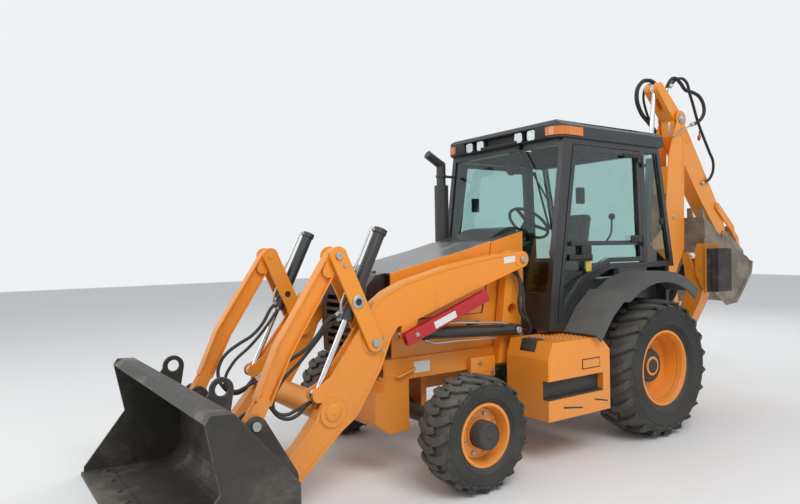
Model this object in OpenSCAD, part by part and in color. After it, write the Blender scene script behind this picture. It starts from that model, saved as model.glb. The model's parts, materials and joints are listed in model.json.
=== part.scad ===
/* [Wheels] */
// Distance between the two axles
wheel_base = 2137; // [2100:1:2180]
// Radius of a rear tyre over its lugs, and height of the rear axle
rear_tyre_r = 605; // [590:1:620]
// Width of a rear tyre
rear_tyre_w = 445; // [420:1:460]
// Radius of a rear rim's flange
rear_rim_r = 330; // [320:1:340]
// Distance from the middle of the machine to the middle of a rear tyre
rear_track = 832; // [822:1:845]
// Radius of a front tyre over its lugs, and height of the front axle
front_tyre_r = 402; // [390:1:412]
// Width of a front tyre
front_tyre_w = 310; // [295:1:325]
// Radius of a front rim's flange
front_rim_r = 222; // [216:1:228]
// Distance from the middle of the machine to the middle of a front tyre
front_track = 912; // [902:1:922]

/* [Frame] */
// Half the width over the frame's two rails
rail_y = 420; // [400:1:430]
// Height of the rails' lower edge
rail_z = 720; // [712:1:730]
// Height of a rail
rail_h = 160; // [150:1:180]
// Thickness of the frame's plates
plate_t = 25; // [16:1:30]
// Half the width of the hood
hood_y = 395; // [370:1:400]

/* [Cab] */
// Half the width of the cab over its posts
cab_y = 720; // [700:1:730]
// Depth of a cab post across the machine
post_t = 50; // [40:1:60]
// Height of the underside of the roof
roof_z = 2600; // [2580:1:2620]
// Height of the cab floor
floor_z = 1000; // [980:1:1020]
// Thickness of the glass
glass_t = 6; // [4:1:8]

/* [Loader] */
// Distance from the middle of the machine to the outer face of a lift arm
arm_y = 600; // [590:1:605]
// Width of a lift arm
arm_w = 95; // [85:1:100]
// Gap on each side of a lift arm to the plates that straddle it
arm_gap = 8; // [6:1:10]
// Thickness of the bellcranks' plates and the bucket's ears
ear_t = 20; // [16:1:24]
// Half the width of the loader bucket
bucket_y = 1115; // [1090:1:1130]
// Thickness of the loader bucket's shell
bucket_t = 16; // [12:1:20]
// Radius of the tube that joins the lift arms
torque_r = 90; // [80:1:95]
// Outer radius of a lift cylinder
lift_r = 46; // [42:1:48]
// Outer radius of a tilt cylinder
tilt_r = 43; // [38:1:45]

/* [Backhoe] */
// Half the width of the boom and the dipper
boom_y = 118; // [105:1:125]
// Thickness of the boom's and the dipper's side plates
boom_t = 12; // [10:1:16]
// Half the width of the digging bucket
dig_y = 300; // [280:1:305]
// Distance behind the rear axle of the axis that the backhoe swings on
swing_x = 1450; // [1445:1:1470]
// Distance behind the rear axle of the stabilisers' middle
stab_x = 990; // [980:1:995]
// Half the length of a stabiliser's pad along the machine
pad_x = 130; // [110:1:132]

/* [Pins] */
// Radius of the loader's pins
pin_r = 25; // [20:1:28]
// Running clearance of a pin in its eye
pin_c = 0.3; // [0.2:0.1:0.5]
// Running clearance of a rod in its barrel
rod_c = 0.3; // [0.2:0.1:0.5]

/* [Hidden] */
$fn = 48;

// Colours
orange = "#e8862a";
black = "#26282a";
grey = "#5a5d60";
chrome = "#c8ccd0";
rubber = "#2c2b2a";
red = "#b8202a";
glass = "#8fb8b4";
worn = "#4a4742";

// Pins of the loader, as [forward of the rear axle, height]
lift_pivot = [1308, 1590];
bell_pin = [2757, 1054];
link_top = [3032, 1653];
trunnion = [2892, 1340];
tilt_eye = [3180, 748];
link_low = [3630, 630];
bucket_pin = [3430, 262];
torque_at = [3082, 623];
lift_base = [1371, 1019];
lift_eye = [2470, 1080];

// Pins of the backhoe
boom_foot = [-1600, 790];
boom_tip = [-1760, 3120];
dipper_ear = [-1420, 3440];
dipper_base = [-1230, 1690];
boom_ear = [-1590, 2000];
boom_base = [-1345, 1120];
dipper_tip = [-2680, 1776];
dig_link = [-3060, 1560];
guide_end = [-2860, 1870];

// Pins of a stabiliser, as [out from the middle, height]
stab_pivot = [460, 620];
stab_end = [830, 1450];
stab_eye = [660, 1560];
stab_base = [300, 860];

// Front end of the loader bucket and rear end of the backhoe, which set the middle of the machine
front_tip = 4343;
dig_eye_r = 52;
rear_tip = dig_link[0] - dig_eye_r;
mid_x = (front_tip + rear_tip) / 2;

// Small tools for outlines

function unit(v) = v / norm(v);
function normal(a, b) = let (d = unit(b - a)) [-d[1], d[0]];
function rev(p) = [for (i = [len(p) - 1:-1:0]) p[i]];
// An open outline moved t to its left, with mitred corners
function beside(p, t) = [for (i = [0:len(p) - 1])
  let (last = len(p) - 1,
       n0 = i > 0 ? normal(p[i - 1], p[i]) : normal(p[0], p[1]),
       n1 = i < last ? normal(p[i], p[i + 1]) : n0, m = n0 + n1)
  p[i] + m * (2 * t / (m * m))];
// A sheet of thickness t that follows an open outline
function sheet(p, t) = concat(p, rev(beside(p, t)));
function arc(c, r, a0, a1, n = 8) =
  [for (i = [0:n]) let (a = a0 + (a1 - a0) * i / n) c + r * [cos(a), sin(a)]];

// Outline in the side view, from y0 to y1 across the machine
module side(y0, y1) translate([0, y1, 0]) rotate([90, 0, 0]) linear_extrude(y1 - y0) children();
// Outline in the rear view, from x0 to x1 along the machine
module across(x0, x1) translate([x0, 0, 0]) rotate([90, 0, 90]) linear_extrude(x1 - x0) children();
// Outline in the top view, from z0 to z1
module flat(z0, z1) translate([0, 0, z0]) linear_extrude(z1 - z0) children();
module both() { children(); mirror([0, 1, 0]) children(); }
module block(x, y, z) translate([x[0], y[0], z[0]]) cube([x[1] - x[0], y[1] - y[0], z[1] - z[0]]);
// Two eyes joined by a straight web
module link2d(a, b, ra, rb) {
  n = normal(a, b) * 0.98;
  translate(a) circle(ra);
  translate(b) circle(rb);
  polygon([a + n * ra, b + n * rb, b - n * rb, a - n * ra]);
}
// Round pin along the machine's width at p
module pin(p, r, y0, y1) side(y0, y1) translate(p) circle(r);
// Everything drawn inside lies along the line from a to b in the side view, with a at z = 0
module along(a, b, y) translate([a[0], y, a[1]])
  rotate([0, atan2(b[0] - a[0], b[1] - a[1]), 0]) children();
// Everything drawn inside lies along the line from a to b in the rear view
module along_rear(a, b, x) translate([x, a[0], a[1]])
  rotate([-atan2(b[0] - a[0], b[1] - a[1]), 0, 0]) children();
// Eye across a cylinder at height z: the pin runs along y
module eye(r, hole, w, z = 0) translate([0, 0, z]) rotate([90, 0, 0])
  difference() { cylinder(r = r, h = w, center = true); cylinder(r = hole, h = w + 2, center = true); }
// Barrel of a cylinder along z: eye at 0, open end at len
module barrel(len, ro, ri, eye_r, hole, w) {
  difference() {
    union() {
      translate([0, 0, eye_r * 0.8]) cylinder(r = ro, h = len - eye_r * 0.8);
      translate([0, 0, len - 60]) cylinder(r = ro + 5, h = 50);
    }
    translate([0, 0, eye_r + 30]) cylinder(r = ri, h = len);
    rotate([90, 0, 0]) cylinder(r = hole + 1, h = 4 * ro, center = true);
  }
  eye(eye_r, hole, w);
}
// Rod of a cylinder along z: eye at len, free end at start
module rod(start, len, r, eye_r, hole, w) {
  translate([0, 0, start]) cylinder(r = r, h = len - start - eye_r * 0.8);
  eye(eye_r, hole, w, len);
}

// Chassis frame with the loader towers, the front weight and the backhoe's frame

tower_y0 = hood_y + 20;
tower_y1 = arm_y - arm_w - 10;
stab_gap = 95;
frame_x = [-stab_x + stab_gap + 5, 2550];

module rail() {
  block(frame_x, [rail_y - plate_t, rail_y], [rail_z, rail_z + rail_h]);
  for (z = [rail_z, rail_z + rail_h - plate_t])
    block(frame_x, [rail_y - 90, rail_y - plate_t], [z, z + plate_t]);
}
module loader_tower() {
  side(tower_y0, tower_y1) difference() {
    union() {
      translate(lift_pivot) circle(78);
      polygon([[1235, rail_z + 30], [1500, rail_z + 30], [1440, 1150], [1384, 1580], [1234, 1580]]);
    }
    translate([1335, 1180]) circle(45);
  }
  block([1235, 1500], [rail_y, tower_y0], [rail_z + 30, rail_z + 130]);
  pin(lift_pivot, 35, tower_y1, arm_y + 8);
  pin(lift_base, pin_r, tower_y1, arm_y + 4);
}
module front_weight() {
  side(-rail_y, rail_y) polygon([[2340, 640], [2340, 337], [2520, 337], [2640, 430], [2640, 640]]);
  block([2340, 2560], [-rail_y, rail_y], [640, rail_z]);
}
module axle_hangers() for (x = [1975, 2245])
  block([x, x + 54], [-150, 150], [front_tyre_r - 60, rail_z]);
module cross_members() {
  for (x = [1600, 2100])
    block([x, x + 60], [plate_t - rail_y, rail_y - plate_t], [rail_z + plate_t, rail_z + 90]);
  block([1990, 2284], [-200, 200], [rail_z, rail_z + 30]);
  block([1990, 2284], [plate_t - rail_y, rail_y - plate_t], [rail_z + 30, rail_z + 60]);
}
// Heights of the two ears that hold the backhoe's king post
ear_low = [420, 470];
ear_high = [880, 930];
king_r = 45;
module hoe_frame() {
  for (x = [-stab_x - stab_gap - plate_t, -stab_x + stab_gap]) across(x, x + plate_t) {
    polygon([[-420, 420], [420, 420], [500, 480], [560, 620], [500, 760], [400, 960], [300, 1100],
             [-300, 1100], [-400, 960], [-500, 760], [-560, 620], [-500, 480]]);
  }
  block([-stab_x - stab_gap, -stab_x + stab_gap], [-180, 180], [420, 450]);
  block([-stab_x - stab_gap, -stab_x + stab_gap], [-180, 180], [1060, 1100]);
  both() {
    across(-stab_x - stab_gap, -stab_x + stab_gap) translate(stab_pivot) circle(pin_r);
    across(-stab_x - stab_gap, -stab_x + stab_gap) translate(stab_base) circle(pin_r);
  }
  for (z = [ear_low, ear_high]) flat(z[0], z[1]) {
    translate([-swing_x, 0]) circle(80);
    polygon([[-swing_x, -79], [-stab_x - stab_gap - plate_t + 1, -122],
             [-stab_x - stab_gap - plate_t + 1, 122], [-swing_x, 79]]);
  }
  flat(ear_low[0], ear_high[1]) translate([-swing_x, 0]) circle(king_r);
}
module chassis_frame() color(orange) {
  both() { rail(); loader_tower(); }
  front_weight();
  axle_hangers();
  cross_members();
  side_panels();
  hoe_frame();
}

// Engine with its gearbox, and the shaft to the rear axle
module engine_block() color(grey) {
  block([1560, 2180], [-250, 250], [rail_z + 90, 1330]);
  block([1000, 1561], [-170, 170], [rail_z + 90, 980]);
  side(-150, 150) polygon([[1120, rail_z + 100], [1160, 600], [1440, 600], [1500, rail_z + 100]]);
  translate([260, 0, rear_tyre_r + 40]) rotate([0, 90, 0]) cylinder(r = 38, h = 880);
}

// Hood, nose and cowl

hood_top = [[2470, 1512], [2380, 1535], [1760, 1668], [1470, 1742]];
hood_hinge = [2476, 1521];
module hood_half() {
  side(hood_y - 12, hood_y) polygon(concat(hood_top, [[1530, 1400], [1590, 1160], [2470, 1160]]));
}
module hood() color(orange) difference() {
  both() hood_half();
  both() for (i = [0:3]) side(hood_y - 13, hood_y + 1) polygon(vent(2050 + i * 90));
}
// Slanted vent in the hood's side
function vent(x) = [[x, 1250], [x + 34, 1250], [x + 64, 1370], [x + 30, 1370]];
module hood_panel() color(grey) {
  side(12 - hood_y, hood_y - 12) polygon(sheet(hood_top, 12));
  both() side(120, 150 - pin_c) difference() {
    link2d([2452, 1512], hood_hinge, 8, 8);
    translate(hood_hinge) circle(4 + pin_c);
  }
}
// Fixed panels below and behind the hood, clear of the arc that the hood's rear edge sweeps
module side_panels() both() difference() {
  side(hood_y - 12, hood_y) polygon([[1142, 860], [2470, 860], [2470, 1150], [1572, 1155], [1516, 1398],
    [1462, 1736], [1102, 1824], [1102, 1310], [1112, 1300], [1142, 1000]]);
  side(hood_y - 13, hood_y + 1) polygon([[1605, 1065], [1747, 1065], [1747, 1095], [1605, 1095]]);
}
slot_z = [for (i = [0:6]) 940 + i * 60];
module cowlings() {
  color(black) difference() {
    side(-330, 330)
      polygon([[2480, 900], [2480, 1512], [2560, 1500], [2640, 1420], [2662, 1250], [2650, 900]]);
    side(-300, 300)
      polygon([[2400, 880], [2400, 1488], [2550, 1476], [2615, 1405], [2636, 1250], [2625, 880]]);
    // Grille
    for (z = slot_z) block([2590, 2700], [-250, 250], [z, z + 36]);
  }
  color(black) block([2480, 2650], [-330, 330], [rail_z + rail_h, 900]);
  // Hinge of the hood
  color(black) both() {
    side(150, 190) link2d([2500, 1508], hood_hinge, 8, 8);
    pin(hood_hinge, 4, 118, 151);
  }
  color(grey) difference() {
    union() {
      side(12 - hood_y, hood_y - 12) polygon([[1460, 1180], [1460, 1740], [1100, 1828], [1100, 1310],
        [1109, 1310], [1110, 1300], [1122, 1180]]);
      side(-260, 260)
        polygon([[1410, 1745], [1190, 1848], [1110, 1866], [1036, 1866], [1048, 1800], [1110, 1780]]);
    }
    side(32 - hood_y, hood_y - 32) polygon([[1500, 1160], [1500, 1712], [1080, 1770], [1080, 1160]]);
  }
}

// Cab

// Outline of a cab side in the side view
cab_outline = [[1140, floor_z], [1110, 1300], [930, roof_z], [-400, roof_z], [-620, 1480], [-300, 1480],
  [350, 1480], [600, 1390], [840, 1170], [900, floor_z]];
door_hole = [[1040, 1040], [1022, 1290], [822, 2550], [-95, 2550], [-140, 1530], [350, 1530], [625, 1432],
  [884, 1198], [994, 1067]];
quarter_hole = [[-160, 2545], [-362, 2545], [-560, 1530], [-205, 1530]];
module cab_side() {
  side(cab_y - post_t, cab_y) difference() {
    polygon(cab_outline);
    polygon(door_hole);
    polygon(quarter_hole);
  }
}
module cab_frame() color(black) {
  both() cab_side();
  // Roof rails, sill, firewall and rear wall
  block([870, 935], [post_t - cab_y, cab_y - post_t], [2545, roof_z]);
  block([-400, -340], [post_t - cab_y, cab_y - post_t], [2550, roof_z]);
  side(post_t - cab_y, cab_y - post_t)
    polygon([[1140, floor_z], [1110, 1300], [1060, 1300], [1080, floor_z]]);
  side(post_t - cab_y, cab_y - post_t)
    polygon([[-610, 1500], [-560, 1500], [-560, 1100], [-610, 1100]]);
  // Floor and the raised deck over the rear axle
  block([-300, 1120], [-560, 560], [floor_z, floor_z + 40]);
  block([-560, -300], [-560, 560], [1100, 1140]);
  both() block([-560, 840], [520, 560], [floor_z + 40, 1400]);
  both() block([-560, 600], [560, cab_y - post_t], [1380, 1400]);
  block([-300, -260], [-520, 520], [floor_z + 40, 1140]);
  // Dashboard, steering column and side console
  side(-330, 330) polygon([[1060, 1300], [1010, 1690], [900, 1740], [860, 1640], [960, 1300]]);
  along(column[0], column[1], 0) cylinder(r = 45, h = norm(column[1] - column[0]));
  block([-250, 420], [-500, -360], [floor_z + 40, 1560]);
  // Mounts on the frame's rails, and the fixed halves of the door hinges
  both() for (x = [-230, 980]) translate([x, rail_y - 45, rail_z + rail_h])
    cylinder(r = 40, h = floor_z - rail_z - rail_h);
  both() for (z = hinge_z) {
    translate([door_hinge[0], door_hinge[1], z - 65]) cylinder(r = 12, h = 30 - pin_c);
    block([door_hinge[0] - 47, door_hinge[0]], [cab_y + 3, door_hinge[1] + 8], [z - 65, z - 35 - pin_c]);
    block([door_hinge[0] - 47, door_hinge[0] - 25], [cab_y, cab_y + 3], [z - 65, z - 35 - pin_c]);
  }
}
// Roof: half its width, its front and rear ends and the radius of its corners
roof_y = 740;
roof_x = [-520, 1005];
corner_r = 110;
lamp_z = [2604, 2700];
roof_front = arc([roof_x[1] - corner_r, roof_y - corner_r], corner_r, 0, 90, 4);
roof_rear = arc([roof_x[0] + corner_r, roof_y - corner_r], corner_r, 90, 180, 4);
roof_half = concat(roof_front, roof_rear);
module cab_roof() color(grey) difference() {
  intersection() {
    side(-roof_y, roof_y) polygon([[1010, roof_z], [1010, 2706], [960, 2750], [640, 2803], [-100, 2812],
      [-400, 2784], [-522, 2716], [-522, 2618], [-400, roof_z]]);
    flat(roof_z - 5, 2820) polygon(concat(roof_half, [for (q = rev(roof_half)) [q[0], -q[1]]]));
    across(roof_x[0] - 5, roof_x[1] + 10) polygon([[-roof_y - 1, 2590], [-roof_y - 1, 2700], [-660, 2752],
      [-420, 2792], [0, 2812], [420, 2792], [660, 2752], [roof_y + 1, 2700], [roof_y + 1, 2590]]);
  }
  side(30 - cab_y, cab_y - 30) polygon([[860, roof_z - 6], [860, 2690], [660, 2740], [-100, 2750],
    [-330, 2700], [-330, roof_z - 6]]);
  // Recesses for the work lamps, in front and behind
  block([roof_x[1] - 60, roof_x[1] + 20], [-465, 465], lamp_z);
  block([roof_x[0] - 20, roof_x[0] + 50], [-465, 465], [2630, 2700]);
}
lamp_y = [-405, -250, 250, 405];
module lamps() color(chrome) for (y = lamp_y) {
  across(roof_x[1] - 60, roof_x[1] - 16) translate([y, 2652]) lamp_face(46, 42);
  across(roof_x[0] + 12, roof_x[0] + 50) translate([y, 2666]) lamp_face(44, 30);
}
module lamp_face(w, h) polygon([for (q = [[1, 0.7], [0.7, 1], [-0.7, 1], [-1, 0.7], [-1, -0.7], [-0.7, -1],
  [0.7, -1], [1, -0.7]]) [q[0] * w, q[1] * h]]);
module markers() color("#e07818") both() flat(2618, 2688)
  polygon(sheet(concat([[roof_x[1], 590]], roof_front, [[720, roof_y]]), -8));
function tilt(a, b, t) = sheet([a, b], t);
module cab_glass() color(glass) {
  // Windscreen and rear window
  side(post_t - cab_y, cab_y - post_t) polygon(tilt([1096, 1302], [925, 2540], glass_t));
  side(post_t - cab_y, cab_y - post_t) polygon(tilt([-360, 2548], [-571, 1501.3], glass_t));
  both() side(cab_y - 30, cab_y - 30 + glass_t) polygon(quarter_hole);
}
// Outline of a door's outer edge, which clears its hole all round
door_outline = [[1032, 1048], [1014, 1288], [815, 2543], [-88, 2543], [-132, 1538], [352, 1538],
  [630, 1439], [890, 1205], [1000, 1075]];
door_window = [[988, 1150], [972, 1280], [778, 2500], [-45, 2500], [-84, 1580], [362, 1580], [650, 1482],
  [915, 1240]];
door_hinge = [-118, cab_y + 15];
hinge_z = [1740, 2470];
module door() {
  side(cab_y - post_t, cab_y + 2) difference() { polygon(door_outline); polygon(door_window); }
  side(cab_y - 34, cab_y - 6) polygon([[-70, 1690], [-70, 1730], [912, 1730], [918, 1690]]);
  for (z = hinge_z) {
    translate([door_hinge[0], door_hinge[1], z - 35]) cylinder(r = 12, h = 70);
    block([door_hinge[0] + 5, -60], [cab_y + 2, door_hinge[1]], [z - 28, z + 28]);
  }
  block([760, 890], [cab_y - 7, cab_y + 30], [1694, 1726]);
}
module door_glass() difference() {
  side(cab_y - 26, cab_y - 26 + glass_t) polygon(door_window);
  side(cab_y - 34, cab_y - 6) polygon([[-90, 1690], [-90, 1730], [1000, 1730], [1000, 1690]]);
}
module door_left() color(black) door();
module door_right() color(black) mirror([0, 1, 0]) door();
module door_glass_left() color(glass) door_glass();
module door_glass_right() color(glass) mirror([0, 1, 0]) door_glass();

// Steering column from its foot in the dashboard to the wheel, and the wheel
column = [[900, 1600], [640, 1880]];
wheel_r = 200;
wheel_dish = 30;
module steering_wheel() color(black) along(column[1], 2 * column[1] - column[0], 0) {
  cylinder(r = 48, h = wheel_dish + 20);
  translate([0, 0, wheel_dish + 10]) rotate_extrude() translate([wheel_r, 0]) circle(14, $fn = 16);
  for (a = [0, 120, 240]) rotate(a) translate([40, -18, wheel_dish]) cube([wheel_r - 44, 36, 14]);
}

module seat() {
  color("#3a3d40") block([60, 560], [-250, 250], [1430, 1550]);
  color("#3a3d40") side(-230, 230) polygon([[40, 1550.5], [150, 1550.5], [70, 2020], [-30, 2020]]);
  color(black) block([120, 480], [-180, 180], [floor_z + 40, 1429.5]);
}

// Fenders over the rear wheels and the boxes that carry the steps

fender_line = concat([[975, 985], [820, 1180], [640, 1318]], arc([60, 560], 898, 57, 128, 8));
module fenders() color(grey) both() {
  side(cab_y + 4, 1048) polygon(sheet(fender_line, 14));
  block([-150, 250], [cab_y - 40, cab_y + 20], [1432, 1480]);
  side(1034, 1048) polygon(sheet(fender_line, 95));
}
box_y = [560, 1000];
box_x = [745, 1468];
box_z = [365, 960];
module side_box() difference() {
  union() {
    side(box_y[0], box_y[1]) polygon([[box_x[0], box_z[0]], [box_x[1], box_z[0]], [box_x[1], 830],
      [1420, box_z[1]], [860, box_z[1]], [box_x[0], 850]]);
    block([box_x[0], 1225], [rail_y, box_y[0]], [rail_z + 10, rail_z + rail_h - 10]);
  }
  block([830, box_x[1] + 1], [box_y[1] - 60, box_y[1] + 1], [525, 670]);
}
module side_boxes() color(orange) both() side_box();

module exhaust() color(black) {
  x = 1172;
  y = -620;
  translate([x, y, 1450]) cylinder(r = 45, h = 1050);
  translate([x, y, 1750]) cylinder(r = 68, h = 550);
  translate([x, y, 2500]) rotate([0, 60, 0]) cylinder(r = 42, h = 190);
  translate([x, y, 2500]) sphere(r = 45);
  translate([x, y + 1, 1495]) rotate([-90, 0, 0]) cylinder(r = 38, h = -y - 1 - hood_y);
}

// Axles, knuckles and wheels

king_y = 700;
module front_axle() color(black) {
  translate([wheel_base, 0, front_tyre_r]) {
    rotate([90, 0, 0]) cylinder(r = 62, h = 1180, center = true);
    sphere(r = 105);
    rotate([0, 90, 0]) cylinder(r = 55, h = 216, center = true);
  }
  for (z = [front_tyre_r - 108, front_tyre_r + 78]) both() {
    block([wheel_base - 45, wheel_base + 45], [590, king_y], [z, z + 30]);
    translate([wheel_base, king_y, z]) cylinder(r = 45, h = 30);
  }
  both() block([wheel_base - 45, wheel_base + 45], [560, 600],
    [front_tyre_r - 108, front_tyre_r + 108]);
}
module knuckle() translate([wheel_base, king_y, front_tyre_r]) {
  cylinder(r = 52, h = 156 - 2 * pin_c, center = true);
  rotate([-90, 0, 0]) translate([0, 0, 0]) cylinder(r = 70, h = 150);
  rotate([-90, 0, 0]) translate([0, 0, 149]) cylinder(r = 60, h = front_track + 34.5 - king_y - 149);
  translate([-180, -30, -20]) cube([140, 60, 40]);
}
module knuckle_left() color(black) knuckle();
module knuckle_right() color(black) mirror([0, 1, 0]) knuckle();
module rear_axle() color(black) {
  translate([0, 0, rear_tyre_r]) {
    rotate([90, 0, 0]) cylinder(r = 92, h = 1340, center = true);
    sphere(r = 190);
    both() translate([0, 600, 0]) rotate([-90, 0, 0]) cylinder(r = 135, h = 70);
    both() translate([0, 669, 0]) rotate([-90, 0, 0]) cylinder(r = 80, h = rear_track - 30.5 - 669);
    both() block([-70, 70], [rail_y - 90, rail_y], [80, rail_z - rear_tyre_r]);
    translate([100, 0, 40]) rotate([0, 90, 0]) cylinder(r = 70, h = 160);
  }
}
// Distance from the middle of a wheel to the inner face of its rim's flange
function flange_at(w) = 0.375 * w + 1;
// Lugs on each side of a tyre. Each pitch has 4 columns of points, where a lug's foot starts,
// its top starts and ends and its foot ends, as shares of the pitch
lug_n = 18;
columns = [0, 0.06, 0.41, 0.47];
cols_n = 4 * lug_n;
// Point i of the row at a out from the middle, of radius top on a lug and low between lugs
function skin_at(i, a, top, low, turn) = let (k = a < 0 ? i + cols_n - 2 : i, j = k % 4,
    step = a == 0 ? j / 4 : columns[j] + (a < 0 ? 0.5 : 0),
    angle = (floor(k / 4) + step) * 360 / lug_n - abs(a) * turn, r = j == 1 || j == 2 ? top : low)
  [r * cos(angle), r * sin(angle), a];
function ring_at(p, a, r, lag) = let (angle = p * 360 / lug_n - lag) [r * cos(angle), r * sin(angle), a];
// Tyre of radius r over chevron lugs that are h high and lean by skew
module tyre(r, w, rim, h, skew) rotate([-90, 0, 0]) {
  bore = (rim - 14) / cos(180 / lug_n);
  bulge = rim + (r - rim) * 0.45;
  // The sidewall passes just inside the edge of the rim's flange
  share = (rim - bore) / (bulge - bore);
  bead = (flange_at(w) - 1.2 - share * w / 2) / (1 - share);
  // Rows of the outside as [way out, radius on a lug, radius between lugs]
  half = [[w * 0.05, r, r - h], [w * 0.46, r - 0.4 * h, r - 1.4 * h],
    [w * 0.5, bulge, bulge], [bead, bore, bore]];
  rows = concat([for (q = rev(half)) [-q[0], q[1], q[2]]], [[0, r - h, r - h]], half);
  inside = [[bead - 22, bore], [w * 0.4, r - 2.6 * h], [-w * 0.4, r - 2.6 * h], [22 - bead, bore]];
  turn = tan(skew) * 180 / (PI * r);
  points = concat([for (q = rows) for (i = [0:cols_n - 1]) skin_at(i, q[0], q[1], q[2], turn)],
    [for (q = inside) for (p = [0:lug_n - 1]) ring_at(p, q[0], q[1], bead * turn)]);
  last = (len(rows) - 1) * cols_n;
  inner = last + cols_n;
  back = inner + 3 * lug_n;
  skin = [for (k = [0:len(rows) - 2]) for (i = [0:cols_n - 1])
    let (a = k * cols_n + i, b = k * cols_n + (i + 1) % cols_n)
    for (f = [[a, b, b + cols_n], [a, b + cols_n, a + cols_n]]) f];
  lining = [for (k = [0:2]) for (i = [0:lug_n - 1])
    let (a = inner + k * lug_n + i, b = inner + k * lug_n + (i + 1) % lug_n)
    for (f = [[a, b, b + lug_n], [a, b + lug_n, a + lug_n]]) f];
  beads = [for (p = [0:lug_n - 1]) let (o = [for (j = [0:4]) (4 * p + j) % cols_n], n = (p + 1) % lug_n)
    for (f = [[last + o[0], last + o[1], inner + p], [last + o[1], last + o[2], inner + p],
      [last + o[2], inner + n, inner + p], [last + o[2], last + o[3], inner + n],
      [last + o[3], last + o[4], inner + n], [back + p, back + n, o[2]], [back + p, o[1], o[0]],
      [back + p, o[2], o[1]], [back + n, o[3], o[2]], [back + n, o[4], o[3]]]) f];
  polyhedron(points, [for (f = concat(skin, lining, beads)) rev(f)]);
}
// Rim with its disc at d, counted out from the middle of the tyre
module rim(r, w, d, hub_r, hole) rotate([-90, 0, 0]) rotate_extrude($fn = 72) {
  h = flange_at(w);
  polygon([[r, h], [r, h + 12], [r - 22, h + 12], [r - 32, h - 14], [r - 48, 30], [r - 48, 14 - h],
    [r - 32, 14 - h], [r - 22, -h - 12], [r, -h - 12], [r, -h], [r - 15, -h], [r - 15, 40 - h],
    [r - 38, 60 - h], [r - 38, h - 60], [r - 15, h - 40], [r - 15, h]]);
  polygon([[hole, d], [r - 47, d], [r - 47, d + 14], [hub_r, d + 14], [hub_r, d + 30], [hole, d + 30]]);
}
module front_wheel() translate([wheel_base, front_track, front_tyre_r]) children();
module rear_wheel() translate([0, rear_track, rear_tyre_r]) children();
module front_tyre() front_wheel() tyre(front_tyre_r, front_tyre_w, front_rim_r, 24, 28);
module rear_tyre() rear_wheel() tyre(rear_tyre_r, rear_tyre_w, rear_rim_r, 34, 40);
module front_rim() front_wheel() {
  rim(front_rim_r, front_tyre_w, 35, 110, 0);
  rotate([-90, 0, 0]) translate([0, 0, 65]) cylinder(r = 95, h = 75);
  rotate([-90, 0, 0]) translate([0, 0, 140]) cylinder(r = 60, h = 25);
}
module rear_rim() rear_wheel() {
  rim(rear_rim_r, rear_tyre_w, -30, 150, 0);
  rotate([-90, 0, 0]) translate([0, 0, 0]) cylinder(r = 85, h = 60);
}
module tyre_front_left() color(rubber) front_tyre();
module tyre_front_right() color(rubber) mirror([0, 1, 0]) front_tyre();
module tyre_rear_left() color(rubber) rear_tyre();
module tyre_rear_right() color(rubber) mirror([0, 1, 0]) rear_tyre();
module rim_front_left() color(orange) front_rim();
module rim_front_right() color(orange) mirror([0, 1, 0]) front_rim();
module rim_rear_left() color(orange) rear_rim();
module rim_rear_right() color(orange) mirror([0, 1, 0]) rear_rim();

// Loader

arm_mid = arm_y - arm_w / 2;
// A closed outline moved t to its left
function inset(p, t) = [for (i = [0:len(p) - 1])
  let (n0 = normal(p[(i + len(p) - 1) % len(p)], p[i]), n1 = normal(p[i], p[(i + 1) % len(p)]), m = n0 + n1)
  p[i] + m * (2 * t / (m * m))];
// Flat of a plate between its flanges, clear of round bosses given as [place, radius]
module flat2d(line, t, bosses) difference() {
  polygon(inset(line, t));
  for (q = bosses) translate(q[0]) circle(q[1]);
}
arm_line = [[1300, 1652], [1628, 1631], [2093, 1555], [2482, 1460], [2638, 1395], [2740, 1326], [2890, 1119],
  [3120, 822], [3150, 720], [3211, 590], [3331, 448], [3492, 320], [3380, 182], [3317, 215], [3012, 491],
  [2902, 563], [2700, 859], [2609, 1072], [2551, 1143], [2381, 1181], [1847, 1358], [1290, 1531]];
module lift_arm() {
  difference() {
    side(arm_y - arm_w, arm_y) {
      polygon(arm_line);
      translate(lift_pivot) circle(64);
      translate(bucket_pin) circle(85);
      link2d(tilt_eye, [3080, 760], 50, 90);
      link2d(lift_eye, [2440, 1220], 55, 75);
    }
    pin(lift_pivot, 35 + pin_c, arm_y - arm_w - 1, arm_y + 1);
    pin(bucket_pin, 30 + pin_c, arm_y - arm_w - 1, arm_y + 1);
    // Slots for the eyes of the tilt and lift cylinders
    side(arm_mid - 28, arm_mid + 28) {
      link2d(trunnion + [20, -130], tilt_eye, 140, 102);
      translate(lift_eye) circle(105);
      polygon([[2300, 1000], [2300, 1190], [lift_eye[0], 1186], [lift_eye[0], 1000]]);
    }
    side(arm_y - 5, arm_y + 1) flat2d(arm_line, -24, arm_bosses);
  }
  pin(bell_pin, pin_r, arm_y - arm_w - arm_gap - ear_t - 4, arm_y + arm_gap + ear_t + 4);
  side(arm_y, arm_y + 6) translate(torque_at) circle(97);
}
arm_bosses = [[lift_pivot, 84], [bucket_pin, 112], [bell_pin, 88], [torque_at, 106], [lift_eye, 90]];
module lift_arms() color(orange) {
  both() lift_arm();
  side(arm_w - arm_y, arm_y - arm_w) difference() {
    translate(torque_at) circle(torque_r);
    translate(torque_at) circle(torque_r - 12);
  }
}
module safety_strut() color(red) {
  y = arm_y + 12;
  along([2490, 1061], [1770, 1318], y + 24) difference() {
    translate([-45, -24, -30]) cube([90, 48, 820]);
    translate([-33, -14, -31]) cube([90, 28, 822]);
  }
  pin([2490, 1061], 16, arm_y, y + 49);
}
bell_y = [arm_y - arm_w - arm_gap - ear_t, arm_y + arm_gap];
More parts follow.
